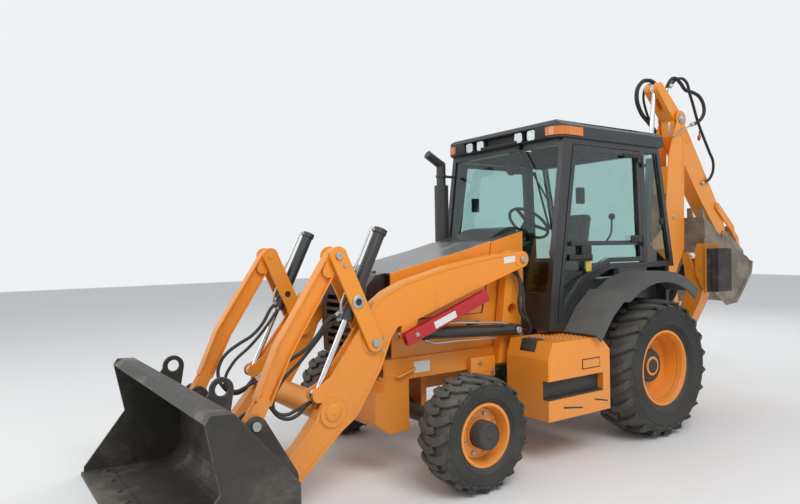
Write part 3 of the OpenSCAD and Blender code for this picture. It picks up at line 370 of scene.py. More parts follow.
def hood_grey():
    """Grey enamel faded by sun, with pale scoured streaks."""
    f = Finish("grey_paint", Coat_Weight=0.3, Coat_Roughness=0.2)
    streak = f.noise(5.0, 6.0, 0.65, f.stretched((0.5, 2.2, 1.0)))
    pale = (streak.step(0.55, 0.68) * f.noise(46.0, 4.0, 0.7).step(0.42, 0.6)).least(1.0)
    dust = f.dust(0.35, 0.0, 1.2)
    colour = f.mix(pale * 0.6, f.mix(f.noise(2.0), linear("3f4447"), linear("5c6164")), linear("b9bab6"))
    f.set(Base_Color=f.mix(dust, colour, DUST), Roughness=(pale * 0.3 + dust * 0.3 + 0.34).least(0.95),
          Normal=f.bump(pale, 0.1, 0.0006, f.rounded(0.004)))
    return f.material


def lens(name, code):
    """Ribbed coloured plastic over a reflector."""
    f = Finish(name, roughness=0.12, Coat_Weight=0.6)
    ribs = f.waves(60.0)
    dust = f.dust(0.25, 0.6, 2.6)
    f.set(Base_Color=f.mix(dust, f.mix(ribs, linear(code), tuple(c * 0.7 for c in linear(code))), DUST),
          Normal=f.bump(ribs, 0.3, 0.001), Roughness=dust * 0.4 + 0.12)
    return f.material


def lamp_lens():
    """Clear ribbed glass over a bright reflector."""
    f = Finish("lamp_lens", roughness=0.08, metallic=0.8, Coat_Weight=1.0, Coat_Roughness=0.03)
    ribs = f.waves(34.0)
    film = f.noise(30.0, 4.0, 0.6).step(0.4, 0.8)
    f.set(Base_Color=f.mix(film * 0.35, f.mix(ribs, linear("c2c8ca"), linear("8b9194")), DUST),
          Normal=f.bump(ribs, 0.45, 0.002), Roughness=film * 0.2 + 0.08)
    return f.material


# What makes each finish
FINISHES = {
    "orange_paint": lambda: paint("orange_paint", ORANGE, dusty=0.2),
    "black_paint": lambda: paint("black_paint", "15171a", dusty=0.2, chips=0.2, gloss=0.38),
    "red_paint": lambda: paint("red_paint", "b80618", dusty=0.04, chips=0.2),
    "roof_plastic": lambda: moulded("roof_plastic", "2f3336", dusty=0.2),
    "fender_plastic": lambda: moulded("fender_plastic", "3d4143", dusty=0.3),
    "tinted_glass": tinted_glass,
    "seat_fabric": seat_fabric,
    "exhaust_steel": lambda: paint("exhaust_steel", "1b1c1d", dusty=0.2, chips=0.3, gloss=0.5),
    "tyre_rubber": tyre_rubber,
    "pad_rubber": lambda: rubber("pad_rubber", "24231f", dusty=0.5),
    "hose_rubber": lambda: rubber("hose_rubber", "131314", dusty=0.2),
    "worn_steel": worn_steel,
    "chrome_rod": chrome,
    "engine_iron": cast_iron,
    "zinc_plate": zinc,
    "ground_steel": ground_steel,
    "pad_layers": pad_layers,
    "lamp_lens": lamp_lens,
    "amber_lens": lambda: lens("amber_lens", "e07818"),
    "black_plastic": lambda: moulded("black_plastic", "141517", dusty=0.2),
    "grey_paint": hood_grey,
    "white_label": lambda: paint("white_label", "e6e6e2", dusty=0.2, chips=0.05),
    "yellow_tag": lambda: paint("yellow_tag", "d8b42a", dusty=0.3, chips=0.1),
}
_made = {}


def finish(slot):
    """The finish of a name, made once."""
    if slot not in _made:
        _made[slot] = FINISHES[slot]()
    return _made[slot]


# Tools for new pieces. Their calls take millimetres

def only(obj):
    """Selects obj and nothing else."""
    bpy.ops.object.select_all(action="DESELECT")
    bpy.context.view_layer.objects.active = obj
    obj.select_set(True)
    return obj


def add(kind, **settings):
    """A new primitive, with nothing else selected."""
    bpy.ops.object.select_all(action="DESELECT")
    getattr(bpy.ops.mesh, f"primitive_{kind}_add")(**settings)
    return bpy.context.object


@contextmanager
def editing(obj):
    """Edit mode on obj, with its whole mesh selected."""
    only(obj)
    bpy.ops.object.mode_set(mode="EDIT")
    bpy.ops.mesh.select_all(action="SELECT")
    yield
    bpy.ops.object.mode_set(mode="OBJECT")


def modified(obj, kind, **settings):
    """obj with a modifier of a kind applied."""
    only(obj)
    modifier = obj.modifiers.new(kind, kind)
    for key, value in settings.items():
        setattr(modifier, key, value)
    bpy.ops.object.modifier_apply(modifier=modifier.name)
    return obj


def soften(obj, width):
    """Rounds the sharp edges of obj."""
    return modified(obj, "BEVEL", width=width / 1000, segments=2, limit_method="ANGLE",
                    angle_limit=math.radians(35))


def settle(obj, matrix):
    """Moves the mesh of obj by a matrix and keeps its faces outward."""
    obj.data.transform(matrix)
    if matrix.determinant() < 0:
        obj.data.flip_normals()
    return obj


def aim(place, direction):
    """The matrix that stands a piece on a place, with its z axis along direction."""
    return Matrix.Translation(place) @ Vector(direction).to_track_quat("Z", "Y").to_matrix().to_4x4()


def join(parts):
    """One object out of several."""
    bpy.ops.object.select_all(action="DESELECT")
    for part in parts:
        part.select_set(True)
    bpy.context.view_layer.objects.active = parts[0]
    if len(parts) > 1:
        bpy.ops.object.join()
    return parts[0]


def spread(obj, matrices):
    """Copies of obj at each matrix, each with its own mesh, joined into one."""
    copies = []
    for matrix in matrices:
        copy = obj.copy()
        copy.data = obj.data.copy()
        bpy.context.collection.objects.link(copy)
        copies.append(settle(copy, matrix))
    bpy.data.objects.remove(obj)
    return join(copies)


OTHER_SIDE = Matrix.Scale(-1, 4, (0, 1, 0))


def mirrored(obj):
    """obj with its twin on the other side of the machine."""
    return spread(obj, [Matrix.Identity(4), OTHER_SIDE])


def slab(outline, push, bevel=2.0):
    """A flat outline of places, pushed through by a vector."""
    obj = add("circle", vertices=len(outline), fill_type="NGON")
    for vertex, place in zip(obj.data.vertices, outline):
        vertex.co = at(*place)
    with editing(obj):
        bpy.ops.mesh.extrude_region_move(TRANSFORM_OT_translate={"value": Vector(push) / 1000})
        bpy.ops.mesh.select_all(action="SELECT")
        bpy.ops.mesh.normals_make_consistent()
    return soften(obj, bevel) if bevel else obj


def plate(outline, y0, y1, bevel=2.0):
    """A plate whose outline is seen from the side, from y0 to y1 across the machine."""
    return slab([(x, y0, z) for x, z in outline], (0, y1 - y0, 0), bevel)


def block(x, y, z, bevel=3.0):
    """A box between two places along each axis."""
    return plate([(x[0], z[0]), (x[1], z[0]), (x[1], z[1]), (x[0], z[1])], y[0], y[1], bevel)


def turned(profile, matrix=Matrix.Identity(4), steps=32):
    """A profile of (radius, height) spun round the z axis, then put in its place."""
    obj = add("circle", vertices=len(profile), fill_type="NOTHING")
    for vertex, (radius, height) in zip(obj.data.vertices, profile):
        vertex.co = (radius / 1000, 0, height / 1000)
    with editing(obj):
        bpy.ops.mesh.spin(steps=steps, angle=math.tau, center=(0, 0, 0), axis=(0, 0, 1))
        bpy.ops.mesh.select_all(action="SELECT")
        bpy.ops.mesh.remove_doubles(threshold=1e-5)
        bpy.ops.mesh.delete_loose()
        bpy.ops.mesh.select_all(action="SELECT")
        bpy.ops.mesh.normals_make_consistent()
    return settle(obj, matrix)


def tube(points, radius, bend=None):
    """A round pipe through places: straight between corners with a bend, or else flowing."""
    bpy.ops.object.select_all(action="DESELECT")
    bpy.ops.curve.primitive_bezier_curve_add()
    obj = bpy.context.object
    spline = obj.data.splines[0]
    way = [at(*p) for p in points]
    knots = [(p, p, p) for p in way]
    if bend:
        knots = knots[:1]
        for before, corner, after in zip(way, way[1:], way[2:]):
            reach = [min(bend / 1000, (other - corner).length * 0.45) for other in (before, after)]
            a = corner + (before - corner).normalized() * reach[0]
            b = corner + (after - corner).normalized() * reach[1]
            knots += [(a, a, a.lerp(corner, 0.55)), (b, b.lerp(corner, 0.55), b)]
        knots.append((way[-1],) * 3)
    spline.bezier_points.add(len(knots) - 2)
    for point, (place, left, right) in zip(spline.bezier_points, knots):
        point.handle_left_type = point.handle_right_type = "FREE" if bend else "AUTO"
        point.co, point.handle_left, point.handle_right = place, left, right
    obj.data.resolution_u = 6
    obj.data.bevel_depth = radius / 1000
    obj.data.bevel_resolution = 2
    obj.data.use_fill_caps = True
    obj.matrix_world = Matrix.Identity(4)
    only(obj)
    bpy.ops.object.convert(target="MESH")
    obj = bpy.context.object
    with editing(obj):
        bpy.ops.mesh.remove_doubles(threshold=1e-5)
        bpy.ops.mesh.normals_make_consistent()
    return obj


# A tilt cylinder's trunnion, and its way down from there, as x and z
TRUNNION, TILT_WAY = (2892, 1340), (0.4375, -0.8992)


def on_tilt(u, v, y):
    """A place beside a tilt cylinder: u along it from its trunnion and v in front of its axis."""
    (x, z), (a, b) = TRUNNION, TILT_WAY
    return x + u * a - v * b, y, z + u * b + v * a


def piece(obj, name, slot, body, smooth=35.0):
    """Names a finished piece, gives it its finish and, unless body is None, lets it ride on a body."""
    only(obj)
    bpy.ops.object.transform_apply(location=True, rotation=True, scale=True)
    bpy.ops.object.shade_smooth_by_angle(angle=math.radians(smooth))
    obj.name = name
    obj.data.name = name
    obj.data.materials.clear()
    obj.data.materials.append(finish(slot))
    if body:
        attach(obj, body)
    return obj


def both_sides(*places):
    """Each place with its twin on the other side, and the way that each faces."""
    return [((x, side * y, z), (0, side, 0)) for x, y, z in places for side in (1, -1)]


def stands(*places):
    """Where pieces stand on both_sides() of the machine."""
    return [aim(at(*place), way) for place, way in both_sides(*places)]


def bolts(name, size, places, body, slot="zinc_plate"):
    """Hexagon heads on washers at places, each given with the way that it faces."""
    washer = turned([(0, 0), (size * 1.2, 0), (size * 1.2, 3), (0, 3)], steps=20)
    head = turned([(0, 3), (size, 3), (size, size * 0.55 + 3), (size * 0.86, size * 0.7 + 3),
                   (0, size * 0.7 + 3)], steps=6)
    made = spread(join([washer, head]), [aim(at(*place), way) for place, way in places])
    return piece(made, name, slot, body)


def pin_heads(name, radius, places, body):
    """Chamfered pin ends with a greaser's dimple, out to both sides of the machine."""
    head = turned([(0, -2), (radius, -2), (radius, 7), (radius - 3, 11), (8, 11), (6, 8), (0, 8)], steps=28)
    return piece(spread(head, stands(*places)), name, "zinc_plate", body)


def line(name, points, radius, body, slot="hose_rubber", bend=None, twin=True, far=None):
    """A hose or pipe with a crimped fitting at each end, and its twin on the other side.
    With far, its end fitting rides on another body, and the pipe itself rides on none."""
    pipe = tube(points, radius, bend)
    pipe = piece(mirrored(pipe) if twin else pipe, name, slot, None if far else body)
    crimp = turned([(0, -6), (radius + 2, -6), (radius + 5, 0), (radius + 5, 16), (radius + 2, 18),
                    (radius + 2, 34), (0, 34)], steps=16)
    way = [at(*p) for p in points]
    if far:
        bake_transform(pipe)
    for end, owner, place, inward in (("start", body, *way[:2]), ("end", far or body, *way[:-3:-1])):
        stand = aim(place, inward - place)
        piece(spread(crimp.copy(), [stand, OTHER_SIDE @ stand] if twin else [stand]), f"{name}_{end}",
              "zinc_plate", owner)
    bpy.data.objects.remove(crimp)


class Sizes(bpy.types.PropertyGroup):
    """Sizes and colours that a user would change."""

    floor_size: bpy.props.FloatProperty(
        name="Floor", description="Width of the floor", default=60.0, unit="LENGTH")
    floor_grey: bpy.props.FloatVectorProperty(
        name="Floor colour", description="Colour of the plain floor", default=(0.80, 0.80, 0.79),
        subtype="COLOR")
    camera_place: bpy.props.FloatVectorProperty(
        name="Camera", description="Where the camera stands", default=(4.5125, 4.349, 1.699),
        subtype="TRANSLATION")
    camera_turn: bpy.props.FloatVectorProperty(
        name="Camera turn", description="Yaw, pitch and roll of the camera", subtype="EULER",
        default=(math.radians(-124.776), math.radians(-0.373), math.radians(-0.994)))
    camera_lens: bpy.props.FloatProperty(
        name="Lens", description="Focal length in millimetres", default=29.08)


class LOADER_OT_stage(bpy.types.Operator):
    """Puts the floor, the lights and the camera in place"""

    bl_idname = "loader.stage"
    bl_label = "Stage"

    def execute(self, context):
        sizes = context.scene.loader_sizes
        bpy.ops.object.select_all(action="DESELECT")
        bpy.ops.mesh.primitive_plane_add(size=sizes.floor_size, location=(0, 0, 0))
        floor = context.object
        floor.name = "floor"
        f = Finish("floor", roughness=0.9)
        f.set(Base_Color=f.mix(f.noise(0.7, 3.0, 0.5), tuple(c * 0.985 for c in sizes.floor_grey),
                               tuple(sizes.floor_grey)))
        floor.data.materials.append(f.material)
        self.sky(context.scene)
        self.lamp("key", (3.0, 7.5, 9.0), (7.0, 5.0), 620.0)
        self.lamp("fill", (9.0, -3.0, 5.5), (6.0, 4.0), 200.0)
        self.lamp("rim", (-8.0, -5.0, 7.0), (6.0, 4.0), 240.0)
        yaw, pitch, roll = sizes.camera_turn
        reach = math.cos(pitch)
        forward = Vector((reach * math.cos(yaw), reach * math.sin(yaw), math.sin(pitch)))
        level = forward.cross(Vector((0, 0, 1))).normalized()
        upright = level.cross(forward)
        right = level * math.cos(roll) + upright * math.sin(roll)
        up = upright * math.cos(roll) - level * math.sin(roll)
        bpy.ops.object.camera_add()
        camera = context.object
        camera.name = "camera"
        camera.matrix_world = Matrix.Translation(sizes.camera_place) @ Matrix(
            (right, up, -forward)).transposed().to_4x4()
        camera.data.lens = sizes.camera_lens
        context.scene.camera = camera
        context.scene.view_settings.view_transform = "Standard"
        return {"FINISHED"}

    def lamp(self, name, place, size, power):
        bpy.ops.object.light_add(type="AREA", location=place)
        lamp = bpy.context.object
        lamp.name = name
        lamp.data.shape = "RECTANGLE"
        lamp.data.size, lamp.data.size_y = size
        lamp.data.energy = power
        lamp.rotation_euler = (Vector((0.3, 0, 1.0)) - Vector(place)).to_track_quat("-Z", "Y").to_euler()

    def sky(self, scene):
        """A pale sky that the camera, gloss and glass all see, and soft light for the rest."""
        world = bpy.data.worlds.new("sky")
        scene.world = world
        world.use_nodes = True
        nodes = Nodes(world.node_tree)
        seen = nodes.node("ShaderNodeBackground", inputs={"Color": (0.86, 0.88, 0.90)})
        light = nodes.node("ShaderNodeBackground", inputs={"Color": (0.93, 0.96, 1.0), "Strength": 0.62})
        camera = nodes.node("ShaderNodeLightPath", out="Is Camera Ray")
        rays = camera.socket.node.outputs
        through, shine = (Val(nodes, rays[f"Is {kind} Ray"]) for kind in ("Transmission", "Glossy"))
        bare = camera.most(through).most(shine)
        mix = nodes.node("ShaderNodeMixShader", inputs={0: bare, 1: light, 2: seen})
        nodes.node("ShaderNodeOutputWorld", inputs={"Surface": mix})


# Nodes that show another finish than their slot's
OTHER_FINISH = {"digging_bucket": "ground_steel", "pad_left": "pad_layers", "pad_right": "pad_layers"}


class LOADER_OT_finishes(bpy.types.Operator):
    """Gives each carried-over node its finish"""

    bl_idname = "loader.finishes"
    bl_label = "Finishes"

    def execute(self, context):
        for part in frame["record"]["subparts"]:
            node = NODES[part["node"]]
            node.data.materials.clear()
            node.data.materials.append(finish(OTHER_FINISH.get(part["node"], part["material_slot"])))
        return {"FINISHED"}


# Tyres. A lug's path is [share of the width out, rise along the round, drop at the shoulder]

FRONT_PATH = [(-0.13, 22, 0), (0, 6, 0), (0.13, 0, 0), (0.25, 12, 0), (0.38, 36, 2), (0.465, 58, 8),
              (0.505, 66, 36)]
REAR_PATH = [(-0.03, 0, 0), (0.08, 8, 0), (0.18, 26, 0), (0.3, 52, 0), (0.41, 84, 3), (0.475, 104, 14),
             (0.505, 116, 62)]


# A side wall as [share of its height, share of its bulge, how far a ring stands proud in millimetres]
SIDE_WALL = [(0.05, 0.35, 0), (0.13, 0.74, 0), (0.17, 0.84, 0), (0.18, 0.84, 3), (0.21, 0.9, 3),
             (0.22, 0.93, 0), (0.33, 1, -1.5), (0.45, 1, 0), (0.55, 1, -0.5), (0.56, 1, 2), (0.585, 1, 2),
             (0.6, 1, -2)]
# r, w and rim are a tyre's outer radius, its width and its rim's radius; high is a lug's height, crown how
# much the tread falls towards its edges, count the lugs on a side, widths a lug's at its inner and outer end
TYRES = {
    "front": {"r": 402, "w": 310, "rim": 222, "high": 24, "crown": 14, "count": 19, "path": FRONT_PATH,
              "widths": (46, 56)},
    "rear": {"r": 605, "w": 445, "rim": 330, "high": 34, "crown": 20, "count": 22, "path": REAR_PATH,
             "widths": (52, 60)},
}
# A hub's cover as a profile, then its nuts as [radius of their circle, how many, how far out they sit]
HUBS = {
    "front": ([(0, 60), (98, 60), (98, 150), (92, 164), (80, 170), (78, 166), (22, 166), (20, 170),
               (0, 170)], (140, 8, 49)),
    "rear": ([(0, -16), (146, -16), (146, 30), (138, 44), (66, 52), (60, 66), (24, 68), (0, 68)],
             (172, 10, -16)),
}
# Where the left wheels stand, and each wheel's name, its end of the machine and its side
WHEEL_PLACES = {"front": (2137, 912, 402), "rear": (0, 832, 605)}
WHEELS = [(f"{end}_{side}", end, flip) for end in TYRES for side, flip in (("left", 1), ("right", -1))]


def lug(path, width, foot, place):
    """One lug: a strip of its top, pushed down to a wider foot, laid on the tyre by place."""
    steps = len(path) - 1
    obj = add("grid", x_subdivisions=steps, y_subdivisions=1, size=2)
    with editing(obj):
        bpy.ops.mesh.extrude_region_move(TRANSFORM_OT_translate={"value": (0, 0, -1)})
        bpy.ops.mesh.select_all(action="SELECT")
        bpy.ops.mesh.normals_make_consistent()
    for vertex in obj.data.vertices:
        i = round((vertex.co.x + 1) / 2 * steps)
        before, after = path[max(i - 1, 0)], path[min(i + 1, steps)]
        along = Vector((after[0] * width[2] - before[0] * width[2], after[1] - before[1])).normalized()
        down = vertex.co.z < -0.5
        half = (width[0] + (width[1] - width[0]) * i / steps) / 2 + (foot if down else 0)
        end = (foot if down else 0) * (1 if i == steps else -1 if i == 0 else 0)
        side = 1 if vertex.co.y > 0 else -1
        out = path[i][0] * width[2] - along.y * half * side + along.x * end
        rise = path[i][1] + along.x * half * side + along.y * end
        vertex.co = place(out, rise, path[i][2], down)
    return obj


def tyre(name, centre, r, w, rim, high, crown, count, path, widths):
    """A tyre with chevron lugs, rings on its sidewalls and beads that sit in the rim."""
    seat, half, tall = 0.375 * w - 0.3, w / 2, r - rim
    free = half - seat
    wall = [(rim - 12, seat), (rim + 2, seat),
            *[(rim + up * tall, seat + out * free + proud) for up, out, proud in SIDE_WALL],
            (r - 2.0 * high, 0.487 * w), (r - 1.35 * high - crown, 0.455 * w)]
    tread = [(r - high - crown * (2 * s) ** 2, s * w) for s in (0.4, 0.3, 0.2, 0.1)]
    outer = wall + tread + [(r - high, 0)]
    lining = [(r - 2.4 * high, 0.4 * w), (rim - 12, seat - 24)]
    half_loop = lining[::-1] + outer
    obj = turned(half_loop + [(a, -b) for a, b in half_loop[-2::-1]], steps=120)

    def place(out, rise, drop, down):
        top = r - crown * (out / half) ** 2 - drop
        angle = rise / r
        if down:
            top, out = min(top - 6, r - high - 6), math.copysign(min(abs(out), 0.47 * w), out)
        return Vector((math.cos(angle) * top, -math.sin(angle) * top, out)) / 1000

    bar = soften(lug(path, (*widths, w), 5, place), 3.5)
    pitch = math.tau / count
    flip = Matrix.Scale(-1, 4, (0, 0, 1))
    turns = [Matrix.Rotation(i * pitch, 4, "Z") for i in range(count)]
    turns += [Matrix.Rotation((i + 0.5) * pitch, 4, "Z") @ flip for i in range(count)]
    stand = Matrix.Translation(at(*centre)) @ Matrix.Rotation(-math.pi / 2, 4, "X")
    obj = settle(join([obj, spread(bar, turns)]), stand)
    if centre[1] < 0:
        obj = spread(obj, [Matrix.Translation((0, 2 * centre[1] / 1000, 0)) @ OTHER_SIDE])
    piece(obj, f"tyre_{name}_tread", "tyre_rubber", f"wheel_{name}", 32)
    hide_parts(f"tyre_{name}")


class LOADER_OT_tyres(bpy.types.Operator):
    """Makes the four tyres with their lugs"""

    bl_idname = "loader.tyres"
    bl_label = "Tyres"

    def execute(self, context):
        for name, end, flip in WHEELS:
            x, y, z = WHEEL_PLACES[end]
            tyre(name, (x, y * flip, z), **TYRES[end])
        return {"FINISHED"}


class LOADER_OT_hubs(bpy.types.Operator):
    """Puts hub covers and wheel nuts on the wheels"""

    bl_idname = "loader.hubs"
    bl_label = "Hubs and wheel nuts"

    def execute(self, context):
        for name, end, flip in WHEELS:
            x, y, z = WHEEL_PLACES[end]
            profile, (ring, count, face) = HUBS[end]
            cap = turned(profile, aim(at(x, y * flip, z), (0, flip, 0)), 48)
            piece(cap, f"hub_cover_{name}", "black_plastic", f"wheel_{name}")
            angles = [math.tau * (i + 0.5) / count for i in range(count)]
            nuts = [((x + ring * math.cos(a), (y + face) * flip, z + ring * math.sin(a)), (0, flip, 0))
                    for a in angles]
            bolts(f"wheel_nuts_{name}", 15, nuts, f"wheel_{name}")
        return {"FINISHED"}


def glass_x(z):
    """How far forward the windscreen is at a height."""
    return 1096 - (z - 1302) * 0.138


class LOADER_OT_cab_fittings(bpy.types.Operator):
    """Dresses the cab with lamp bezels, wiper, latches, hinges, levers and a mirror"""

    bl_idname = "loader.cab_fittings"
    bl_label = "Cab fittings"

    def execute(self, context):
        panel = block((944.5, 949), (-463, 463), (2605, 2699), 1)
        bezels = [slab([(946, y + 56 * a, 2652 + 44 * b) for a, b in self.rounded()], (30, 0, 0), 3)
                  for y in (-405, -250, 250, 405)]
        brow = [block((950, 1002), (-230, 230), (2606, 2630), 4),
                block((1005, 1008), (-590, 590), (2700, 2706), 1),
                *[block((1005, 1008), (y - 62, y + 62), (2601, 2701), 1) for y in (-528, 528)]]
        piece(join([panel] + brow + bezels), "lamp_panel", "black_plastic", "chassis")
        self.wiper()
        self.door_fittings()
        self.inside()
        return {"FINISHED"}

    def rounded(self):
        """A bezel's outline, as shares of half its width and half its height"""
        return [(1, 0.7), (0.8, 1), (-0.8, 1), (-1, 0.7), (-1, -0.7), (-0.8, -1), (0.8, -1), (1, -0.7)]

    def wiper(self):
        pivot = turned([(0, -40), (24, -40), (24, 14), (18, 22), (0, 22)],
                       aim(at(948, 222, 2580), (1, 0, 0)), 24)
        # How far each place stands off the glass, then its y and z
        elbow, wrist, top, low = ((glass_x(z) + off, y, z) for off, y, z in
                                  ((42, 288, 2500), (34, 622, 2069), (20, 430, 2330), (20, 650, 1830)))
        arm = tube([(968, 222, 2580), elbow, wrist], 7, 40)
        blade = tube([top, low], 9, 5)
        piece(join([pivot, arm, blade]), "windscreen_wiper", "black_plastic", "chassis")

    def door_fittings(self):
        for side, flip in (("left", False), ("right", True)):
            body = f"door_{side}"
            latch = [block((610, 900), (726, 744), (1560, 1614), 8),
                     block((615, 740), (722, 736), (1600, 1692), 5),
                     tube([(880, 744, 1585), (870, 772, 1585), (660, 772, 1585), (650, 744, 1585)], 9, 18),
                     block((-66, 150), (722, 736), (2478, 2514), 6),
                     block((-66, 60), (722, 736), (1716, 1776), 6),
                     block((640, 725), (655, 690), (2050, 2190), 8)]
            tag = block((628, 700), (736, 741), (1470, 1556), 3)
            for obj, name, slot in ((join(latch), "latch", "black_plastic"),
                                    (tag, "latch_tag", "yellow_tag")):
                piece(spread(obj, [OTHER_SIDE]) if flip else obj, f"{name}_{side}", slot, body)
        quarter = mirrored(turned([(0, 0), (34, 0), (34, 8), (26, 14), (0, 14)],
                                  aim(at(-466, 696, 1911), (0, 1, 0)), 24))
        piece(quarter, "quarter_latches", "black_plastic", "chassis")

    def inside(self):
        parts = []
        for x, y, high in ((420, -330, 1800), (330, -330, 1760), (-330, 110, 1500), (-330, -110, 1500)):
            foot = 1300 if x < 0 else 1560
            parts.append(tube([(x, y, foot - 140), (x, y, foot), (x - 30, y + 12, high)], 8, 60))
            parts.append(turned([(0, -6), (16, -4), (25, 12), (24, 34), (14, 46), (0, 48)],
                                aim(at(x - 30, y + 12, high), (-0.1, 0, 1)), 24))
        parts.append(block((-470, -300), (-260, 260), (1140, 1330), 30))
        parts.append(tube([(-180, 250, 1700), (-290, 250, 1800), (-300, 250, 1960)], 10, 50))
        parts.append(turned([(0, -35), (24, -26), (35, 0), (24, 26), (0, 35)],
                            aim(at(-300, 250, 1975), (0, 0, 1)), 24))
        parts.append(turned([(0, 0), (88, 0), (96, 8), (88, 16), (0, 20)],
                            aim(at(870, 60, 2440), (-1, 0, -0.2)), 32))
        parts.append(tube([(880, 60, 2440), (900, 60, 2500), (905, 60, 2560)], 8, 20))
        piece(join(parts), "cab_levers", "black_plastic", "chassis")


# How far the cloth may swell, and the seams' depth, in metres
PUFF, SEAM_DEPTH = 0.012, 0.008
# Half the distance between a pad's long seams, and the seams' width, in millimetres
CHANNEL, SEAM_WIDTH = 130, 6


class LOADER_OT_seat(bpy.types.Operator):
    """Makes the operator's seat with its cushions"""

    bl_idname = "loader.seat"
    bl_label = "Seat"

    def execute(self, context):
        cushion = self.pad("seat_cushion", (74, 546), (-232, 232), (1442, 1536), 0.0)
        back = self.pad("seat_back", (-22, 96), (-215, 215), (1560, 2004), -0.17)
        bellows = [block((150 + 20 * i, 450 - 20 * i), (-165 + 8 * i, 165 - 8 * i),
                         (1300 + 34 * i, 1330 + 34 * i), 6) for i in range(3)]
        base = join([block((120, 480), (-180, 180), (1041, 1300), 14),
                     block((90, 520), (-210, 210), (1400, 1436), 12), *bellows,
                     plate([(50, 1440), (88, 1440), (12, 1990), (-24, 1990)], -200, 200, 8)])
        piece(base, "seat_base", "black_plastic", "chassis")
        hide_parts("seat")
        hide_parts("seat")
        return {"FINISHED"}

    def pad(self, name, x, y, z, lean):
        """A stuffed pad: a rounded block blown up as cloth, with sewn channels pressed in."""
        pad = block(x, y, z, 26)
        pad.name = name
        middle = sum((v.co for v in pad.data.vertices), Vector()) / len(pad.data.vertices)
        lean_back = Matrix.Rotation(lean, 4, "Y")
        settle(pad, Matrix.Translation(middle) @ lean_back @ Matrix.Translation(-middle))
        modified(pad, "REMESH", mode="VOXEL", voxel_size=0.008)
        start = [v.co.copy() for v in pad.data.vertices]
        cloth = pad.modifiers.new("Cloth", "CLOTH")
        cloth.settings.use_pressure = True
        cloth.settings.uniform_pressure_force = 4
        cloth.settings.effector_weights.gravity = 0
        for step in range(1, 21):
            bpy.context.scene.frame_set(step)
        bpy.ops.object.modifier_apply(modifier=cloth.name)
        bpy.context.scene.frame_set(1)
        lying = lean == 0
        for vertex, was in zip(pad.data.vertices, start):
            move = vertex.co - was
            place = was + (move.normalized() * min(move.length, PUFF) if move.length > 1e-9 else move)
            off = place - middle
            across, rise, height = off.y * 1000, off.x if lying else off.z, off.z if lying else off.x
            seams = [abs(across) - CHANNEL]
            if abs(across) < CHANNEL:
                seams += [rise * 1000 - c for c in (-90, 10, 110)]
            groove = min(sum(math.exp(-(gap / SEAM_WIDTH) ** 2) for gap in seams), 1.0)
            if height > (0.02 if lying else 0.01):
                place += Vector((0, 0, -1) if lying else (-1, 0, 0)) * groove * SEAM_DEPTH
            vertex.co = place
        modified(pad, "SUBSURF", levels=1, render_levels=1)
        piece(pad, name, "seat_fabric", "chassis", 80)
        return pad


